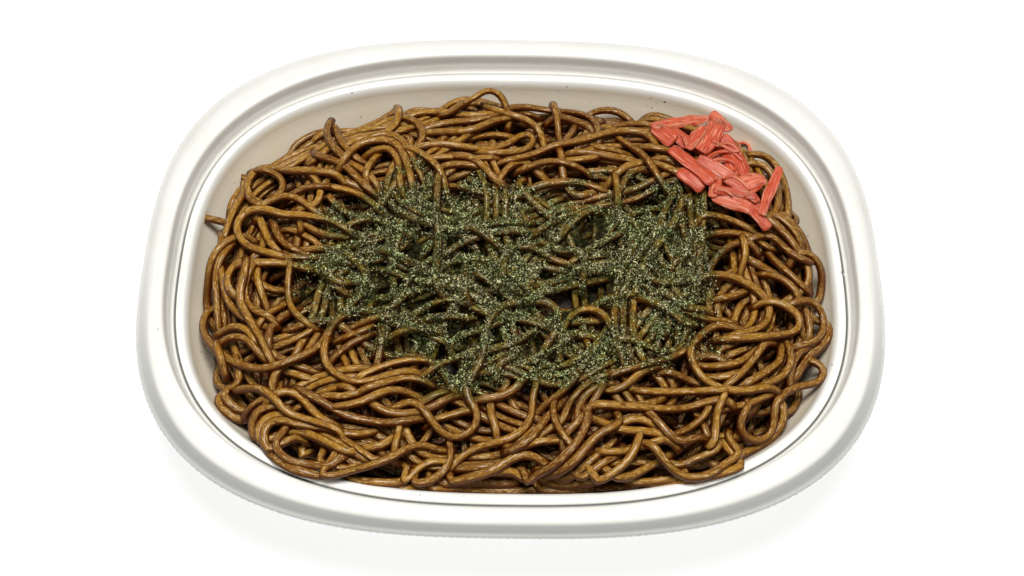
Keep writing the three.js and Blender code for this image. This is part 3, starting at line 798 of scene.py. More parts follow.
class Nodes:
    """A node tree, with short ways to add what the finishes need."""

    def __init__(self, tree):
        self.tree = tree

    def add(self, kind, **settings):
        node = self.tree.nodes.new(kind)
        for name, value in settings.items():
            setattr(node, name, value)
        return node

    def plug(self, value, socket):
        """Joins an output to a socket, or sets the socket where the value is a plain one."""
        if isinstance(value, bpy.types.NodeSocket):
            self.tree.links.new(value, socket)
        else:
            socket.default_value = value

    def place(self):
        """Object coordinates, in metres."""
        return self.add("ShaderNodeTexCoord").outputs["Object"]

    def up(self, direction):
        """The upward part of a place or a direction."""
        parts = self.add("ShaderNodeSeparateXYZ")
        self.plug(direction, parts.inputs[0])
        return parts.outputs["Z"]

    def facing_up(self):
        """1 where the surface faces up, 0 where it is upright and -1 where it faces down."""
        return self.up(self.add("ShaderNodeNewGeometry").outputs["Normal"])

    def attribute(self, name):
        return self.add("ShaderNodeAttribute", attribute_name=name).outputs["Fac"]

    def noise(self, scale, detail=2.0, roughness=0.5):
        node = self.add("ShaderNodeTexNoise")
        self.plug(self.place(), node.inputs["Vector"])
        self.plug(scale, node.inputs["Scale"])
        node.inputs["Detail"].default_value = detail
        node.inputs["Roughness"].default_value = roughness
        return node.outputs["Fac"]

    def ramp(self, value, low, high, start=0.0, end=1.0):
        """Turns a value between low and high smoothly into one between start and end."""
        node = self.add("ShaderNodeMapRange", interpolation_type="SMOOTHSTEP")
        self.plug(value, node.inputs["Value"])
        self.plug(low, node.inputs["From Min"])
        self.plug(high, node.inputs["From Max"])
        self.plug(start, node.inputs["To Min"])
        self.plug(end, node.inputs["To Max"])
        return node.outputs["Result"]

    def varied(self, scale, least, most, detail=2.0):
        """A value from least to most that varies over the surface by noise."""
        return self.ramp(self.noise(scale, detail), *NOISE_SPREAD, start=least, end=most)

    def mix(self, share, first, second, blend="MIX"):
        node = self.add("ShaderNodeMix", data_type="RGBA", blend_type=blend)
        self.plug(share, node.inputs["Factor"])
        self.plug(first, node.inputs[MIX_FIRST])
        self.plug(second, node.inputs[MIX_SECOND])
        return node.outputs[MIX_COLOUR]

    def maths(self, operation, first, second):
        node = self.add("ShaderNodeMath", operation=operation)
        self.plug(first, node.inputs[0])
        self.plug(second, node.inputs[1])
        return node.outputs[0]

    def times(self, first, second):
        return self.maths("MULTIPLY", first, second)

    def group(self, name, **values):
        """Places a shared group with its own values, and gives its outputs."""
        node = self.add("ShaderNodeGroup", node_tree=shared_group(name))
        for label, value in values.items():
            self.plug(value, node.inputs[label])
        return node.outputs

    def blotched(self, ground, patch, scale, start, full):
        """One colour with soft-edged patches of another."""
        values = {"Ground": ground, "Patch": patch, "Scale": scale, "Start": start, "Full": full}
        return self.group("blotches", **values)["Color"]


class Finish(Nodes):
    """A new material, whose main shader's sockets are set by name."""

    def __init__(self, name):
        self.material = bpy.data.materials.new(name)
        self.material.use_nodes = True
        super().__init__(self.material.node_tree)
        self.surface = self.tree.nodes["Principled BSDF"]

    def set(self, **values):
        for name, value in values.items():
            self.plug(value, self.surface.inputs[name.replace("_", " ")])

    def bump(self, height, distance):
        """Raises the surface by a height from 0 to 1, times a distance in metres."""
        node = self.add("ShaderNodeBump")
        self.plug(height, node.inputs["Height"])
        node.inputs["Distance"].default_value = distance
        self.plug(node.outputs["Normal"], self.surface.inputs["Normal"])


# ---------------------------------------------------------------- shared node groups

# The finest laver: the noise over which its specks show, where there is least and most laver,
# how soft their edges are, and by how much laver the specks and the film are full
DUST_LEVELS = (0.66, 0.5)
DUST_MOST = 0.8
DUST_SOFT = 0.05
DUST_SPECKS = (0.02, 0.2)
DUST_FILM = 0.25
DUST_SHADES = (0.4, 0.65)
DUST_SCALE = 1500
DUST_SHADE_SCALE = 700
GRAIN = {"detail": 3, "roughness": 0.7}
# How far apart the streaks of two strands of unlike tints are drawn
STREAK_OFFSET = 9.0


def fill_blotches(nodes, given, result):
    """Soft-edged patches of one colour over another."""
    speckle = nodes.noise(given["Scale"], detail=4, roughness=0.6)
    mask = nodes.ramp(speckle, given["Start"], given["Full"])
    nodes.plug(nodes.mix(mask, given["Ground"], given["Patch"]), result["Color"])


def fill_laver_dust(nodes, given, result):
    """The finest laver, as dark and pale specks and an olive film where its attribute is high."""
    laver = nodes.attribute("laver")
    level_sparse, level_thick = DUST_LEVELS
    level = nodes.ramp(laver, 0.0, DUST_MOST, start=level_sparse, end=level_thick)
    edge = nodes.maths("ADD", level, DUST_SOFT)
    grain = nodes.ramp(nodes.noise(DUST_SCALE, **GRAIN), level, edge)
    dark = nodes.times(grain, nodes.ramp(laver, *DUST_SPECKS))
    film = nodes.mix(nodes.ramp(laver, 0.0, DUST_FILM), given["Ground"], OLIVE_FILM, "MULTIPLY")
    shades = nodes.ramp(nodes.noise(DUST_SHADE_SCALE), *DUST_SHADES)
    specks = nodes.mix(shades, DUST_DARK, DUST_PALE)
    nodes.plug(nodes.mix(dark, film, specks), result["Color"])
    nodes.plug(dark, result["Mask"])


def fill_fibre(nodes, given, result):
    """Fine streaks that run along a swept strand, by the attributes its sweep gives it."""
    place = nodes.add("ShaderNodeCombineXYZ")
    nodes.plug(nodes.times(nodes.attribute("across"), given["Across"]), place.inputs["X"])
    nodes.plug(nodes.times(nodes.attribute("along"), given["Along"]), place.inputs["Y"])
    nodes.plug(nodes.times(nodes.attribute("tint"), STREAK_OFFSET), place.inputs["Z"])
    streaks = nodes.add("ShaderNodeTexNoise")
    nodes.plug(place.outputs[0], streaks.inputs["Vector"])
    streaks.inputs["Scale"].default_value = 1.0
    nodes.plug(streaks.outputs["Fac"], result["Mask"])


# Each group's inputs, its outputs and what fills it
BLOTCH_INPUTS = {
    "Ground": "Color", "Patch": "Color", "Scale": "Float", "Start": "Float", "Full": "Float",
}
SHARED_GROUPS = {
    "blotches": (BLOTCH_INPUTS, {"Color": "Color"}, fill_blotches),
    "laver_dust": ({"Ground": "Color"}, {"Color": "Color", "Mask": "Float"}, fill_laver_dust),
    "fibre": ({"Across": "Float", "Along": "Float"}, {"Mask": "Float"}, fill_fibre),
}


def shared_group(name):
    """The node group of this name, which is made when it is first asked for."""
    if name in bpy.data.node_groups:
        return bpy.data.node_groups[name]
    inputs, outputs, fill = SHARED_GROUPS[name]
    tree = bpy.data.node_groups.new(name, "ShaderNodeTree")
    for direction, sockets in (("INPUT", inputs), ("OUTPUT", outputs)):
        for label, kind in sockets.items():
            tree.interface.new_socket(label, in_out=direction, socket_type="NodeSocket" + kind)
    nodes = Nodes(tree)
    fill(nodes, nodes.add("NodeGroupInput").outputs, nodes.add("NodeGroupOutput").inputs)
    return tree


# ---------------------------------------------------------------- finishes

# How far a surface faces up where the tray's inner side is fully inner, and where the painted
# shade on a strand's flank is full and ends
INNER_FACING = 0.1
FLANK_FACING = (0.52, 1.03)
FLANK_STRENGTH = 0.95
# Between which values of the fibres streaks start and are full, and how strong they are. On
# the noodles the streaks are painted highlight glints.
NOODLE_STREAKS = (0.52, 0.66)
NOODLE_STREAK_STRENGTH = 0.75
GINGER_STREAKS = (0.48, 0.72)
GINGER_STREAK_STRENGTH = 0.8
# The noodles' painted glints fade out over this part of the flank, so they stay on the tops.
STREAK_FADE = (0.2, 0.8)
# How much laver, or how deep a place, makes a noodle fully dry
DRY_FROM = 0.6
# The noodles' oil: on top, the share of it that is left deep down, and under laver
OIL = 0.36
OIL_DEEP_SHARE = 0.15
OIL_UNDER_LAVER = 0.05
# Between which tints laver turns from dark to green, and from green to its pale tips, which are
# painted highlights
GREEN_TINTS = (0.2, 0.95)
TIP_TINTS = (0.8, 0.95)
# How far the bumps of each surface stand out, in metres
TRAY_BUMP = 0.00005
NOODLE_BUMP = 0.0003
CORE_BUMP = 0.0006
GINGER_BUMP = 0.0004


def floor_finish():
    finish = Finish("pale_floor")
    finish.set(Base_Color=FLOOR_GREY, Roughness=0.9, Specular_IOR_Level=0.1)
    finish.set(Emission_Color=WHITE, Emission_Strength=0.8)
    return finish.material


def tray_finish():
    """Cloudy white, with painted shade on the skirt and in the groove, and low on the inner side a
    warm film that is partly sauce, partly painted shade and painted light bounced from the noodles.
    """
    finish = Finish("white_moulded_tray")
    inner = finish.ramp(finish.facing_up(), 0.0, INNER_FACING)
    film_low, film_high = (height * MM for height in FILM_HEIGHTS)
    low_down = finish.ramp(finish.up(finish.place()), film_low, film_high, start=inner, end=0.0)
    smear = finish.varied(scale=60, least=0.75, most=1.0, detail=4)
    white = finish.blotched(TRAY_WHITE, TRAY_CLOUD, scale=25, start=0.4, full=0.7)
    # The warm film low on the inner wall: partly sauce, partly painted shade and bounced light.
    filmed = finish.mix(finish.times(low_down, smear), white, TRAY_SAUCE_FILM)
    # Painted shade: the skirt turns grey, most at the front.
    shade = finish.attribute("skirt")
    greyed = finish.mix(shade, filmed, SKIRT_GREY)
    # Painted shade: a dark line in the groove, on its upward faces.
    in_groove = finish.ramp(shade, 1.0, GROOVE_SHADES[0], end=inner)
    finish.set(
        Base_Color=finish.mix(in_groove, greyed, GROOVE_GREY),
        Roughness=finish.varied(scale=300, least=0.32, most=0.45, detail=3),
        IOR=1.5,
    )
    finish.bump(finish.noise(scale=900, detail=3), TRAY_BUMP)
    return finish.material


def noodle_finish():
    """Golden on top, with painted shade on the flanks and in crevices deep down (partly sauce there),
    and painted glints along each strand's top.
    """
    finish = Finish("sauced_noodles")
    pale = finish.mix(finish.attribute("tint"), NOODLE_BROWN, NOODLE_GOLD)
    # Painted shade: flanks that face less upward darken.
    flank = finish.ramp(finish.facing_up(), *FLANK_FACING, start=FLANK_STRENGTH, end=0.0)
    edged = finish.mix(flank, pale, NOODLE_FLANK)
    # Painted shade in crevices, partly sauce pooled there.
    soaked = finish.mix(finish.attribute("deep"), edged, NOODLE_SOAKED)
    sauced = finish.blotched(soaked, NOODLE_SPOT, scale=420, start=0.48, full=0.74)
    fibres = finish.group("fibre", Across=4.4, Along=1.1)["Mask"]
    streaks = finish.ramp(fibres, *NOODLE_STREAKS, end=NOODLE_STREAK_STRENGTH)
    on_top = finish.ramp(flank, *STREAK_FADE, start=1.0, end=0.0)
    # Painted glints: pale streaks on the strands' tops.
    lined = finish.mix(finish.times(streaks, on_top), sauced, NOODLE_GLINT)
    dusted = finish.group("laver_dust", Ground=lined)
    dry = finish.ramp(dusted["Mask"], 0.0, DRY_FROM)
    sunk = finish.ramp(finish.attribute("deep"), 0.0, DRY_FROM)
    oil_share = finish.ramp(sunk, 0.0, 1.0, start=1.0, end=OIL_DEEP_SHARE)
    oil = finish.ramp(dry, 0.0, 1.0, start=OIL, end=OIL_UNDER_LAVER)
    dull = finish.maths("MAXIMUM", dry, sunk)
    finish.set(
        Base_Color=dusted["Color"],
        Roughness=finish.ramp(dull, 0.0, 1.0, start=0.28, end=0.75),
        Specular_Tint=NOODLE_SHINE,
        Coat_Weight=finish.times(oil_share, oil),
        Coat_Roughness=0.16,
        Coat_Tint=OIL_TINT,
    )
    finish.bump(finish.maths("ADD", fibres, finish.noise(DUST_SCALE, **GRAIN)), NOODLE_BUMP)
    return finish.material


# Near black all over: painted shade for the noodles deep in the heap.
def core_finish():
    finish = Finish("painted_shade_packed_noodles")
    finish.set(
        Base_Color=finish.blotched(CORE_DARK, CORE_BROWN, scale=300, start=0.4, full=0.7),
        Roughness=finish.varied(scale=200, least=0.4, most=0.7),
    )
    finish.bump(finish.noise(scale=350, detail=3), CORE_BUMP)
    return finish.material


def laver_finish():
    """From nearly black to green by a leaf's tint, with pale tips at the highest tints as painted
    highlights.
    """
    finish = Finish("green_laver")
    tint = finish.attribute("tint")
    green = finish.mix(finish.ramp(tint, *GREEN_TINTS), LAVER_DARK, LAVER_GREEN)
    # Painted highlights: pale tips at the highest tints.
    tipped = finish.mix(finish.ramp(tint, *TIP_TINTS), green, LAVER_TIP)
    cast = finish.blotched(FADED_CAST, FRESH_CAST, scale=110, start=0.44, full=0.58)
    finish.set(
        Base_Color=finish.mix(1.0, tipped, cast, "MULTIPLY"),
        Roughness=finish.varied(scale=500, least=0.5, most=0.7),
        Specular_IOR_Level=0.25,
    )
    return finish.material


def ginger_finish():
    """Translucent red flesh with pale fibres and a little laver."""
    finish = Finish("red_pickled_ginger")
    flesh = finish.mix(finish.attribute("tint"), GINGER_RED, GINGER_PINK)
    blotched = finish.blotched(flesh, GINGER_DEEP, scale=300, start=0.42, full=0.72)
    fibres = finish.group("fibre", Across=2.2, Along=0.13)["Mask"]
    streaks = finish.ramp(fibres, *GINGER_STREAKS, end=GINGER_STREAK_STRENGTH)
    dusted = finish.group("laver_dust", Ground=finish.mix(streaks, blotched, GINGER_STREAK))
    finish.set(
        Base_Color=dusted["Color"],
        Roughness=finish.ramp(dusted["Mask"], 0.0, 1.0, start=0.42, end=0.7),
        Subsurface_Weight=0.6,
        Subsurface_Radius=(1.0, 0.35, 0.25),
        Subsurface_Scale=0.003,
    )
    finish.bump(fibres, GINGER_BUMP)
    return finish.material


def sauce_finish():
    finish = Finish("dark_sauce_specks")
    finish.set(
        Base_Color=finish.blotched(SPECK_DARK, SPECK_BROWN, scale=400, start=0.4, full=0.6),
        Roughness=0.3,
    )
    return finish.material


# ---------------------------------------------------------------- tray

def curve(start, control, end, steps):
    """Points of a quadratic curve after its start."""
    points = []
    for step in range(1, steps + 1):
        share = step / steps
        ahead = np.array(start) * (1 - share) + np.array(control) * share
        behind = np.array(control) * (1 - share) + np.array(end) * share
        points.append(tuple(ahead * (1 - share) + behind * share))
    return points


def tray_profile():
    """The sheet's upper face from the lip in to the floor: inset, and height over the lip."""
    drop = LIP_HEIGHT - SHEET
    corner = (SHOULDER_INSET + (drop - SHOULDER_DROP) / WALL_SLOPE, -drop)
    fillet = FLOOR_FILLET / 2
    wall_foot = (corner[0] - fillet / math.hypot(1, WALL_SLOPE), corner[1] + fillet * WALL_RISE)
    lip_and_skirt = [
        (0.0, -0.9), (0.0, 0.6), (0.3, 1.1), (1.0, 1.25), (1.2, 1.4), (1.8, 2.1), (2.7, 3.15),
    ]
    crown = [
        *curve((2.7, 3.15), (3.3, 3.95), (4.6, 4.1), 4),
        (5.6, 4.1), (6.7, 4.08),
        *curve((6.7, 4.08), (8.5, 4.06), (8.85, 2.9), 6),
    ]
    riser = [
        (9.0, 1.6), (9.15, 0.2), (9.25, -0.8), (9.5, -1.3), (9.65, -1.8), (9.75, -2.6),
        *curve((9.75, -2.6), (9.95, -4.0), (11.1, -4.25), 4),
    ]
    groove = [(11.15, -5.1), (11.55, -5.1), (11.6, -4.15), (12.2, -3.95)]
    shoulder_and_wall = [
        *curve((13.4, -3.9), (15.1, -4.1), (16.0, -8.4), 8),
        (17.5, -11.5), (20.5, -17.4), (24.0, -24.3),
        wall_foot,
        *curve(wall_foot, corner, (corner[0] + FLOOR_FILLET, -drop), 6),
    ]
    return lip_and_skirt + crown + riser + groove + shoulder_and_wall


def lay_round_oval(dot):
    """Moves a vertex of the round spun tray onto the oval of its inset, and gives the inset."""
    inset = TRAY_HALF_LENGTH - math.hypot(dot.co.x, dot.co.y)
    angle = math.atan2(dot.co.y, dot.co.x)
    x = (TRAY_HALF_LENGTH - inset) * math.cos(angle)
    y = (TRAY_HALF_WIDTH - inset) * math.sin(angle)
    out = reach(inset, x, y)
    ribbed = max(0.0, 1 - inset / LIP_RIB_WIDTH) * LIP_RIB_DEPTH
    rib = ribbed * (0.5 - 0.5 * math.cos(LIP_RIBS * angle))
    out *= 1 + rib / TRAY_HALF_LENGTH
    flare = np.interp(inset, *(FRONT_FLARE if y < 0 else BACK_FLARE))
    dot.co.x = x / out
    dot.co.y = y / out * (1 + flare / TRAY_HALF_WIDTH)
    return inset


def skirt_shade(inset, y):
    """How far a place on the rim takes painted shade: in its groove, and at the front's skirt."""
    if GROOVE_INSETS[0] < inset < GROOVE_INSETS[1]:
        return np.interp(y / SHADE_REACH, (0, 1), GROOVE_SHADES)
    front = min(max(-y / SHADE_REACH, 0.0), 1.0)
    skirt_inset = np.interp(front, (0, 1), SKIRT_INSETS)
    lip_inset = np.interp(front, (0, 1), LIP_INSETS)
    shade = np.interp(front, (0, 1), SKIRT_SHADES)
    band = min(max((skirt_inset - inset) / SKIRT_BLEND, 0.0), 1.0)
    return band * shade * (LIP_SHADE if inset < lip_inset else 1.0)


def make_tray():
    """The moulded sheet, spun as a round bowl and then laid onto its ovals."""
    shape = bmesh.new()
    dots = [
        shape.verts.new((TRAY_HALF_LENGTH - inset, 0, LIP_HEIGHT + up))
        for inset, up in tray_profile()
    ]
    edges = [shape.edges.new(pair) for pair in zip(dots, dots[1:])]
    bmesh.ops.spin(
        shape, geom=dots + edges, angle=FULL_TURN, steps=TRAY_AROUND, use_merge=True,
        axis=(0, 0, 1), cent=(0, 0, 0),
    )
    insets = [lay_round_oval(dot) for dot in shape.verts]
    # Painted shade for each vertex of the rim, kept as an attribute.
    skirt = [skirt_shade(inset, dot.co.y) for inset, dot in zip(insets, shape.verts)]
    rims = [edge for edge in shape.edges if edge.is_boundary]
    floor_rim = [edge for edge in rims if edge.verts[0].co.z < LIP_HEIGHT / 2]
    bmesh.ops.contextual_create(shape, geom=floor_rim)
    bmesh.ops.recalc_face_normals(shape, faces=shape.faces)
    if sum(face.normal.z for face in shape.faces) < 0:
        bmesh.ops.reverse_faces(shape, faces=shape.faces)
    tray = finish_bmesh("tray_shell", shape)
    add_attribute(tray, "skirt", skirt)
    wall = tray.modifiers.new("sheet", "SOLIDIFY")
    wall.thickness = SHEET * MM
    wall.offset = -1
    paint(tray, tray_finish())
    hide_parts("tray")
    return tray


# ---------------------------------------------------------------- lines

def distances_along(points):
    """How far along a line each of its points is."""
    steps = np.linalg.norm(np.diff(points, axis=0), axis=1)
    return np.concatenate([[0], np.cumsum(steps)])


def resample(points, step):
    """Evenly spaced points along a line."""
    along = distances_along(points)
    count = max(int(along[-1] / step), FEWEST_STEPS)
    at = np.linspace(0, along[-1], count + 1)
    return np.stack([np.interp(at, along, column) for column in points.T], 1)


def smooth_line(points, rounds):
    """Smooths a line in place, apart from its ends, and gives it back."""
    for _ in range(rounds):
        points[1:-1] = 0.5 * points[1:-1] + 0.25 * (points[:-2] + points[2:])
    return points


def line_through(points, step):
    """Closely spaced points of a smooth line through a few given ones."""
    points = np.array(points, float)
    padded = [2 * points[0] - points[1], *points, 2 * points[-1] - points[-2]]
    share = np.linspace(0, 1, SPLINE_STEPS, endpoint=False)[:, None]
    stretches = []
    for before, start, end, after in zip(padded, padded[1:], padded[2:], padded[3:]):
        slope = end - before
        square = 2 * before - 5 * start + 4 * end - after
        cube = 3 * start - before - 3 * end + after
        bend = slope * share + square * share ** 2 + cube * share ** 3
        stretches.append(start + 0.5 * bend)
    return resample(np.vstack([*stretches, points[-1:]]), step)


def unit(rows):
    """Rows of vectors, each scaled to a length of 1."""
    return rows / np.linalg.norm(rows, axis=1)[:, None]


# ---------------------------------------------------------------- heap

class HeapMap:
    """The heights of what lies in the tray, on a fine grid, as strands are laid on it."""

    def __init__(self):
        half = np.array([TRAY_HALF_LENGTH, TRAY_HALF_WIDTH])
        self.count = (2 * half / GRID_CELL).astype(int) + 1
        self.origin = -half
        xs = self.origin[0] + np.arange(self.count[0]) * GRID_CELL
        ys = self.origin[1] + np.arange(self.count[1]) * GRID_CELL
        x, y = np.meshgrid(xs, ys, indexing="ij")
        self.inside = reach(HEAP_INSET, x, y) < 1
        core = np.where(self.inside, heap_height(x, y) - CORE_DEPTH, 0)
        self.heights = np.maximum(core, wall_height(x, y))
        cells = int(STAMP_REACH / GRID_CELL) + 1
        span = np.arange(-cells, cells + 1)
        over, up = np.meshgrid(span, span, indexing="ij")
        self.offsets = np.stack([over.ravel(), up.ravel()], 1)
        self.distance = np.hypot(self.offsets[:, 0], self.offsets[:, 1]) * GRID_CELL

    def cells_round(self, points, radius, half_height):
        """The grid cells within a radius of each point, and how far the strand bulges there."""
        near = self.distance < radius
        bulge = half_height * np.sqrt(1 - (self.distance[near] / radius) ** 2)
        middle = np.rint((points - self.origin) / GRID_CELL).astype(int)
        cells = middle[:, None, :] + self.offsets[near][None, :, :]
        cells = np.clip(cells, 0, self.count - 1)
        return (cells[..., 0], cells[..., 1]), bulge

    def support(self, points, radius, half_height):
        """The height of a strand's middle where it touches the heap under each point."""
        cells, bulge = self.cells_round(points, radius, half_height)
        return (self.heights[cells] + bulge).max(1)

    def stamp(self, points, heights, radius, half_height):
        """Adds a strand to the heap."""
        cells, bulge = self.cells_round(points, radius, half_height)
        np.maximum.at(self.heights, cells, heights[:, None] + bulge)

    def top(self, points):
        """The height under each point, between the grid's cells."""
        place = (points - self.origin) / GRID_CELL
        low = np.clip(np.floor(place).astype(int), 0, self.count - 2)
        along, across = (place - low).T
        i, j = low.T
        near = self.heights[i, j] * (1 - along) + self.heights[i + 1, j] * along
        far = self.heights[i, j + 1] * (1 - along) + self.heights[i + 1, j + 1] * along
        return near * (1 - across) + far * across


def levelled(heap, width):
    """A copy of the heap whose heights are means over squares of this width, inside its edge."""
    copy = HeapMap()
    square = np.ones(int(width / GRID_CELL))
    total = np.where(heap.inside, heap.heights, 0)
    count = np.where(heap.inside, 1.0, 0)
    for axis in (0, 1):
        total = np.apply_along_axis(np.convolve, axis, total, square, "same")
        count = np.apply_along_axis(np.convolve, axis, count, square, "same")
    copy.heights = total / np.maximum(count, 1)
    return copy


def bridged(heap, width):
    """A copy of the heap whose narrow gaps are half filled, for what is too light to fall in."""
    copy = levelled(heap, width)
    copy.heights = np.maximum(heap.heights, copy.heights)
    return copy


def heap_normals(heap, points):
    """The directions in which the heap's surface faces."""
    step_x, step_y = [SLOPE_STEP, 0], [0, SLOPE_STEP]
    slope_x = (heap.top(points + step_x) - heap.top(points - step_x)) / (2 * SLOPE_STEP)
    slope_y = (heap.top(points + step_y) - heap.top(points - step_y)) / (2 * SLOPE_STEP)
    return unit(np.stack([-slope_x, -slope_y, np.ones(len(points))], 1))


# ---------------------------------------------------------------- courses of strands

def drape(heap, course, radius, half_height):
    """The height of a strand's middle line where it rests on the heap and sags between rests."""
    support = heap.support(course, radius, half_height)
    along = distances_along(course)
    apart = along[:, None] - along[None, :]
    rest = (support[None, :] - SAG * apart ** 2).max(1)
    for _ in range(SETTLE_ROUNDS):
        rest = np.maximum(smooth_line(rest, 2), support - PRESS_IN)
    return smooth_line(rest, 3)


def seen_line(heap, sight, line, radius, half_height, rise):
    """A strand's middle line, where it shows at these image points and rests on the heap."""
    dense = line_through(line, SEEN_STEP)
    rays = sight.rays(dense)
    lifted = rise(np.linspace(0, 1, len(dense)))
    course = sight.at_height(rays, np.full(len(dense), HEAP_TOP_HEIGHT))
    heights = heap_height(*course.T) + lifted
    for _ in range(SETTLE_ROUNDS):
        course = sight.at_height(rays, heights)
        heights = 0.5 * (heights + drape(heap, course, radius, half_height) + lifted)
    return np.column_stack([sight.at_height(rays, heights), heights])


def tuck_in(line, rng):
    """Lengthens a line at its end, which goes down between the strands there."""
    ahead = line[-1, :2] - line[-3, :2]
    ahead /= max(np.linalg.norm(ahead), TINY)
    turn = rng.normal(0, TUCK_TURN)
    end_height = line[-1, 2]
    added = [line[-1]]
    for drop in TUCK_DROPS:
        ahead = np.array([ahead[0] - turn * ahead[1], ahead[1] + turn * ahead[0]])
        x, y = into_filling(*(added[-1][:2] + ahead * TUCK_STEP))
        lowest = min(float(wall_height(x, y)) + NOODLE_RADIUS, end_height)
        added.append(np.array([x, y, max(end_height - drop, lowest)]))
    return np.vstack([line, added[1:]])


def tuck_both_ends(line, bare, rng):
    start_bare, end_bare = bare
    if not end_bare:
        line = tuck_in(line, rng)
    if not start_bare:
        line = tuck_in(line[::-1], rng)[::-1]
    return line


def turn_from_wall(x, y, heading):
    """How sharply a strand that nears the wall turns to run along it."""
    out = float(reach(FILLING_INSET + WALL_MARGIN, x, y))
    facing = math.atan2(y / TRAY_HALF_WIDTH ** 2, x / TRAY_HALF_LENGTH ** 2)
    outward = math.cos(heading - facing)
    if out <= WALL_NEAR or outward <= -WALL_SLACK:
        return 0.0
    side = math.copysign(1, math.sin(heading - facing))
    push = min((out - WALL_NEAR) / WALL_BAND, WALL_PUSH_MOST)
    return side * (outward + WALL_SLACK) * push / WALL_TURN_RADIUS


def free_course(rng, start, heading, length):
    """A strand's course in plan: it wanders, and turns back at the wall."""
    x, y = start
    bend = rng.choice(BENDS)
    wave, phase = rng.uniform(*BEND_WAVES), rng.uniform(0, FULL_TURN)
    lean = rng.normal(0, bend * LEAN_SHARE)
    points = [(x, y)]
    for step in range(int(length / STRAND_STEP)):
        turn = lean + bend * math.sin(FULL_TURN * step * STRAND_STEP / wave + phase)
        turn += turn_from_wall(x, y, heading)
        heading += max(-SHARPEST_TURN, min(SHARPEST_TURN, turn)) * STRAND_STEP
        x += STRAND_STEP * math.cos(heading)
        y += STRAND_STEP * math.sin(heading)
        x, y = into_filling(x, y)
        points.append((x, y))
    return np.array(points)


def lie_along(rng, x, y):
    """A heading that suits the place: along the wall near it, and any way in the middle."""
    if float(reach(HEAP_INSET, x, y)) < OPEN_MIDDLE:
        return rng.uniform(0, FULL_TURN)
    tangent = math.atan2(x / TRAY_HALF_LENGTH ** 2, -y / TRAY_HALF_WIDTH ** 2)
    return tangent + rng.normal(0, HEADING_SCATTER)


def beside(course, offset):
    """The course that runs beside another at an offset."""
    along = np.gradient(course, axis=0)
    along /= np.maximum(np.linalg.norm(along, axis=1), TINY)[:, None]
    moved = course + np.column_stack([-along[:, 1], along[:, 0]]) * offset
    out = reach(FILLING_INSET, *moved.T)
    return moved / np.maximum(out, 1)[:, None]


# ---------------------------------------------------------------- laying strands

def add_strand(heap, rng, strands, line, radius, bare):
    """Tucks a strand's ends in where they aren't bare, and adds it to the heap and the list."""
    line = resample(tuck_both_ends(line, bare, rng), STRAND_STEP)
    line = smooth_line(line, 1)
    heap.stamp(line[:, :2], line[:, 2], radius, radius * NOODLE_FLATNESS)
    strands.append({"line": line, "radius": radius, "tint": rng.uniform(0, 1)})


def lay_filling(heap, rng, strands, layer):
    """Lays a few strands over the lowest of some random places. It is False where all are full."""
    spots = rng.uniform(-1, 1, (SPOTS_TRIED, 2)) * [TRAY_HALF_LENGTH, TRAY_HALF_WIDTH]
    spots = spots[reach(FILLING_INSET, *spots.T) < 1]
    room = heap_height(*spots.T) + layer["ceiling"] - heap.top(spots)
    if room.max() < NOODLE_RADIUS:
        return False
    spot = spots[room.argmax()]
    heading = lie_along(rng, *spot)
    length = rng.uniform(*layer["length"]) / 2
    ahead = free_course(rng, spot, heading, length)
    behind = free_course(rng, spot, heading + math.pi, length)
    course = smooth_line(np.vstack([behind[::-1], ahead[1:]]), 4)
    for place in range(rng.integers(*BUNDLE_COUNTS)):
        radius = NOODLE_RADIUS * rng.uniform(*BUNDLE_RADII)
        plan = smooth_line(beside(course, place * BUNDLE_GAP), 3)
        line = np.column_stack([plan, drape(heap, plan, radius, radius * NOODLE_FLATNESS)])
        cut = rng.integers(*BUNDLE_CUTS)
        add_strand(heap, rng, strands, line[cut:], radius, (False, False))
    return True


def fill_layer(heap, rng, layer):
    """Lays one layer of filling, until it is full or has its most bundles."""
    strands = []
    for _ in range(layer["most"]):
        if not lay_filling(heap, rng, strands, layer):
            break
    return strands


def lay_seen_strands(heap, sight, rng):
    """Lays the uppermost strands, region after region, and the arched ones last."""
    strands = []
    groups = (BACK_STRANDS, LEFT_STRANDS, MIDDLE_STRANDS, RIGHT_STRANDS, FRONT_STRANDS)
    lines = [(rng.uniform(*SEEN_LIFTS), line) for group in groups for line in group]
    for lift, line in lines + ARCHED_STRANDS:
        radius = NOODLE_RADIUS * rng.uniform(*SEEN_RADII)
        placed = seen_line(
            heap, sight, line, radius, radius * NOODLE_FLATNESS,
            lambda share: lift * np.sin(math.pi * share))
        bare = line[0] in BARE_ENDS, line[-1] in BARE_ENDS
        add_strand(heap, rng, strands, placed, radius, bare)
    return strands


# ---------------------------------------------------------------- sweeping strands

def section_curve(name, flatness, power, points):
    """A closed rounded outline, 1 mm in half width, that is swept along strands."""
    data = bpy.data.curves.new(name, "CURVE")
    data.dimensions = "2D"
    outline = data.splines.new("POLY")
    outline.points.add(points - 1)
    outline.use_cyclic_u = True
    for index, point in enumerate(outline.points):
        angle = FULL_TURN * (index + 0.5) / points
        across, up = math.cos(angle), math.sin(angle)
        out = (abs(across) ** power + abs(up) ** power) ** (1 / power)
        point.co = (across / out * MM, up / out * flatness * MM, 0, 1)
    return add_object(name, data)


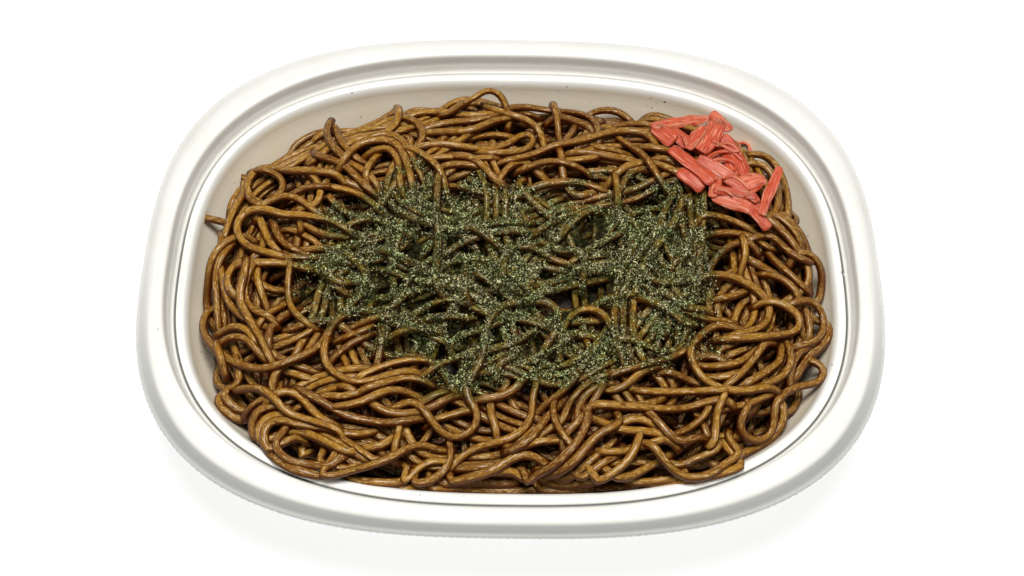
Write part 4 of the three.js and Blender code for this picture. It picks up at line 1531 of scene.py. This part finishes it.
def add_swept_line(data, strand, rng, uneven, roll, rounded):
    """Adds a strand to a curve, with its waves of thickness and roll."""
    line = strand["line"]
    count = len(line)
    spline = data.splines.new("POLY")
    spline.points.add(count - 1)
    spline.points.foreach_set("co", np.column_stack([line * MM, np.ones(count)]).ravel())
    along = np.linspace(0, 1, count) * count * STRAND_STEP
    wave = along / rng.uniform(*THICKNESS_WAVES) + rng.uniform(*WAVE_STARTS)
    thick = 1 + uneven * np.sin(wave)
    thick *= 1 - rounded * np.abs(np.linspace(-1, 1, count)) ** END_POWER
    turned = roll * np.sin(along / rng.uniform(*ROLL_WAVES) + rng.uniform(*WAVE_STARTS))
    spline.points.foreach_set("radius", strand["radius"] * thick)
    spline.points.foreach_set("tilt", turned)


def close_ends(mesh):
    shape = bmesh.new()
    shape.from_mesh(mesh)
    rims = [edge for edge in shape.edges if edge.is_boundary]
    bmesh.ops.holes_fill(shape, edges=rims, sides=0)
    bmesh.ops.recalc_face_normals(shape, faces=shape.faces)
    shape.to_mesh(mesh)
    shape.free()
    mesh.shade_smooth()


def sweep(name, strands, section, rng, uneven=UNEVEN, roll=ROLL, rounded=0.0):
    """All strands as one mesh of closed tubes.

    Each vertex has its strand's tint, how far along the strand it is, in steps, and how far
    across it, in millimetres. The section is used up.
    """
    data = bpy.data.curves.new(name, "CURVE")
    data.dimensions = "3D"
    data.twist_mode = "Z_UP"
    data.bevel_mode = "OBJECT"
    data.bevel_object = section
    for strand in strands:
        add_swept_line(data, strand, rng, uneven, roll, rounded)
    tubes = add_object(name + "_curve", data)
    shown = bpy.context.evaluated_depsgraph_get()
    mesh = bpy.data.meshes.new_from_object(tubes.evaluated_get(shown))
    mesh.name = name
    bpy.data.objects.remove(tubes)
    close_ends(mesh)
    piece = add_object(name, mesh)
    across = np.array([point.co.x for point in section.data.splines[0].points]) / MM
    bpy.data.objects.remove(section)
    around = len(across)
    rings = np.array([len(strand["line"]) for strand in strands])
    tints = [strand["tint"] for strand in strands]
    widths = np.repeat([strand["radius"] for strand in strands], rings)
    along = np.concatenate([np.arange(count) for count in rings])
    add_attribute(piece, "tint", np.repeat(tints, rings * around))
    add_attribute(piece, "across", np.outer(widths, across).ravel())
    add_attribute(piece, "along", np.repeat(along, around))
    return piece


# ---------------------------------------------------------------- where laver lies

def patches(points, size, seed):
    """A random field between 0 and 1 over the plan, whose patches have about this size."""
    rng = np.random.default_rng(seed)
    field = np.zeros(len(points))
    for _ in range(PATCH_WAVES):
        angle, phase = rng.uniform(0, FULL_TURN, 2)
        wave = 2 * size * rng.uniform(*PATCH_WAVE_SPREAD)
        across = points @ [math.cos(angle), math.sin(angle)]
        field += np.sin(FULL_TURN * across / wave + phase)
    return 0.5 + 0.5 * np.tanh(field / PATCH_SOFTNESS)


def laver_zone(sight, places):
    """How densely laver lies at places on the heap, from 0 to 1."""
    x, y = sight.image(places).T
    plan = places[:, :2]
    bare = np.ones(len(places))
    ragged = patches(plan, LOBE_PATCH, LAVER_SEED)
    for middle_x, middle_y, half_x, half_y, strength in LAVER_LOBES:
        out = np.hypot((x - middle_x) / half_x, (y - middle_y) / half_y) + LOBE_RAGGED * ragged
        full = strength * np.clip((LOBE_EDGE - out) / LOBE_BLEND, 0, 1)
        bare = bare * (1 - full) if strength > 0 else 1 - (1 - bare) * (1 + full)
    thin = patches(plan, THIN_PATCH, LAVER_SEED + 1)
    return (1 - bare) * (THIN_SHARE + (1 - THIN_SHARE) * thin)


def dust(piece, heap, level, sight):
    """Gives each vertex the laver that fell on it from above, and how deep in the heap it is, which
    darkens crevices with painted shade, partly standing for sauce.
    """
    places = places_of(piece)
    plan, heights = places[:, :2], places[:, 2]
    covered = heap.top(plan) - heights
    laver = laver_zone(sight, places) * np.clip(1 - covered / LAVER_FALL, 0, 1)
    add_attribute(piece, "laver", laver)
    below = level.top(plan) - heights
    # Painted shade: the further a vertex lies below the levelled heap, the darker its crevice shade.
    deep = np.clip((below - CREVICE_START) / CREVICE_DEPTH, 0, 1)
    from_edge = (1 - reach(HEAP_INSET, *plan.T)) * TRAY_HALF_WIDTH
    add_attribute(piece, "deep", deep * np.clip(from_edge / CREVICE_EDGE, CREVICE_LEAST, 1))


# ---------------------------------------------------------------- noodles

def make_noodles(rng, heap, sight):
    """The filling's two layers and the uppermost strands, each layer as one piece."""
    finish = noodle_finish()
    laid = {name: fill_layer(heap, rng, layer) for name, layer in LAYERS.items()}
    laid["noodles_top"] = lay_seen_strands(heap, sight, rng)
    level = levelled(heap, CREVICE_WIDTH)
    pieces = []
    for name, strands in laid.items():
        around = LAYERS[name]["around"] if name in LAYERS else TOP_AROUND
        section = section_curve(name + "_section", NOODLE_FLATNESS, NOODLE_SQUARENESS, around)
        piece = sweep(name, strands, section, rng)
        dust(piece, heap, level, sight)
        paint(piece, finish)
        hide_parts("noodles")
        pieces.append(piece)
    return pieces


def make_core():
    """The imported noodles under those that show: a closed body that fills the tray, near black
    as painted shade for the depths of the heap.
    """
    shape = bmesh.new()
    bmesh.ops.create_icosphere(shape, subdivisions=CORE_DETAIL, radius=1)
    for dot in shape.verts:
        x = dot.co.x * (TRAY_HALF_LENGTH - CORE_INSET)
        y = dot.co.y * (TRAY_HALF_WIDTH - CORE_INSET)
        ring = math.hypot(dot.co.x, dot.co.y)
        if ring > 0:
            out = float(reach(CORE_INSET, x, y)) / ring
            x, y = x / out, y / out
        base = float(wall_height(x, y)) + CORE_GAP
        top = max(float(heap_height(x, y)) - CORE_DEPTH, base)
        dot.co = (x, y, top if dot.co.z > 0 else base)
    core = finish_bmesh("noodle_core", shape)
    paint(core, core_finish())
    return core


# ---------------------------------------------------------------- laver, ginger and sauce

def laver_spots(rng, heap, sight, kind):
    """Where a kind's leaves lie: their plan, the heap's height there and how dense laver is."""
    most = kind["most"]
    points = rng.uniform(*LAVER_AREA, (most * LAVER_TRIES, 2))
    tops = heap.top(points)
    density = laver_zone(sight, np.column_stack([points, tops]))
    kept = rng.random(len(points)) < density ** kind["spread"]
    chosen = np.flatnonzero(kept)[:most]
    return points[chosen], tops[chosen], density[chosen]


def make_laver(rng, heap, sight, name, kind):
    """Thousands of closed, folded leaves that lie on the noodles, thickest in the lobes."""
    points, tops, density = laver_spots(rng, heap, sight, kind)
    count = len(points)
    piled = density * rng.uniform(0, LAVER_DEPTH, count) ** LAVER_PILING
    places = np.column_stack([points, tops + LAVER_LIFT + piled])
    normal = unit(heap_normals(heap, points) + rng.normal(0, LAVER_TILT, (count, 3)))
    side = unit(np.cross(normal, rng.normal(0, 1, (count, 3))))
    length = rng.uniform(*kind["half_length"], count)[:, None]
    width = length * rng.uniform(*kind["slender"], count)[:, None]
    along = side * length
    across = np.cross(normal, side) * width
    fold = normal * width * LAVER_FOLD
    corners = [along, -LAVER_TAIL * along, across + fold, fold - LAVER_LOPSIDED * across]
    vertices = np.stack([places + corner for corner in corners], 1).reshape(-1, 3)
    leaf = np.array([[0, 2, 3], [1, 3, 2], [0, 1, 2], [0, 3, 1]])
    faces = (leaf[None] + len(corners) * np.arange(count)[:, None, None]).reshape(-1, 3)
    leaves = joined_mesh(name, vertices, faces)
    # Painted shade: leaves lower than the heap's smooth surface get darker tints.
    below = heap_height(*points.T) - LAVER_DULL_START - tops
    dull = np.clip(below / LAVER_DULL_DEPTH, 0, LAVER_DULLEST)
    tints = rng.uniform(*kind["tint"], count) * (1 - dull)
    add_attribute(leaves, "tint", np.repeat(tints, len(corners)))
    return leaves


# Each kind of ginger strip: its lines, and its section's flatness, squareness and corners
GINGER_KINDS = {
    "ginger_slices": (GINGER_SLICES, 0.27, 2.3, 16),
    "ginger_shreds": (GINGER_SHREDS, 0.6, 2.2, 10),
}


def lay_ginger(rng, heap, sight, strips, flatness):
    laid = []
    for width, rise_start, rise_end, line in strips:
        half = width / 2 / PIXELS_PER_MM
        flat = half * flatness
        placed = seen_line(
            heap, sight, line, half, flat,
            lambda share: rise_start * (1 - share) ** 2 + rise_end * share ** 2)
        placed = resample(placed, GINGER_STEP)
        heap.stamp(placed[:, :2], placed[:, 2], half, flat)
        laid.append({"line": placed, "radius": half, "tint": rng.uniform(0, 1)})
    return laid


def make_ginger(rng, heap, sight):
    """The pinch of ginger: flat slices, and thin curled shreds over them."""
    finish = ginger_finish()
    pieces = []
    for name, (strips, flatness, squared, around) in GINGER_KINDS.items():
        laid = lay_ginger(rng, heap, sight, strips, flatness)
        section = section_curve(name + "_section", flatness, squared, around)
        piece = sweep(name, laid, section, rng, GINGER_UNEVEN, GINGER_ROLL, GINGER_ROUNDED)
        add_attribute(piece, "laver", laver_zone(sight, places_of(piece)) * GINGER_LAVER)
        paint(piece, finish)
        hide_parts("pickled_ginger")
        pieces.append(piece)
    return pieces


def make_sauce_specks(rng, sight, tray):
    """Small flat drops of sauce and crumbs on the tray's wall and rim."""
    surface = BVHTree.FromObject(tray, bpy.context.evaluated_depsgraph_get())
    shape = bmesh.new()
    for x, y, size in SAUCE_SPECKS:
        ray = Vector(sight.rays([(x, y)])[0])
        spot, normal, _, _ = surface.ray_cast(Vector(sight.eye * MM), ray)
        turn = normal.to_track_quat("Z", "Y").to_matrix().to_4x4()
        spin = Matrix.Rotation(rng.uniform(0, math.pi), 4, "Z")
        half = size / 2
        form = Matrix.Diagonal((half, half * rng.uniform(*SPECK_SLENDER), half / SPECK_FLATNESS, 1))
        matrix = Matrix.Translation(spot / MM) @ turn @ spin @ form
        bmesh.ops.create_icosphere(shape, subdivisions=2, radius=1, matrix=matrix)
    specks = finish_bmesh("sauce_specks", shape)
    paint(specks, sauce_finish())
    return specks


# ---------------------------------------------------------------- all together

def main():
    rng = np.random.default_rng(LAYER_SEED)
    add_camera()
    add_studio()
    heap = HeapMap()
    sight = Sight()
    tray = make_tray()
    pieces = [tray, *make_noodles(rng, heap, sight), make_core()]
    laver = laver_finish()
    ground = bridged(heap, LAVER_BRIDGE)
    for name, kind in LAVER_KINDS.items():
        flakes = make_laver(rng, ground, sight, name, kind)
        paint(flakes, laver)
        pieces.append(flakes)
    pieces += make_ginger(rng, heap, sight)
    pieces.append(make_sauce_specks(rng, sight, tray))
    for piece in pieces:
        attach(piece, "root")


main()
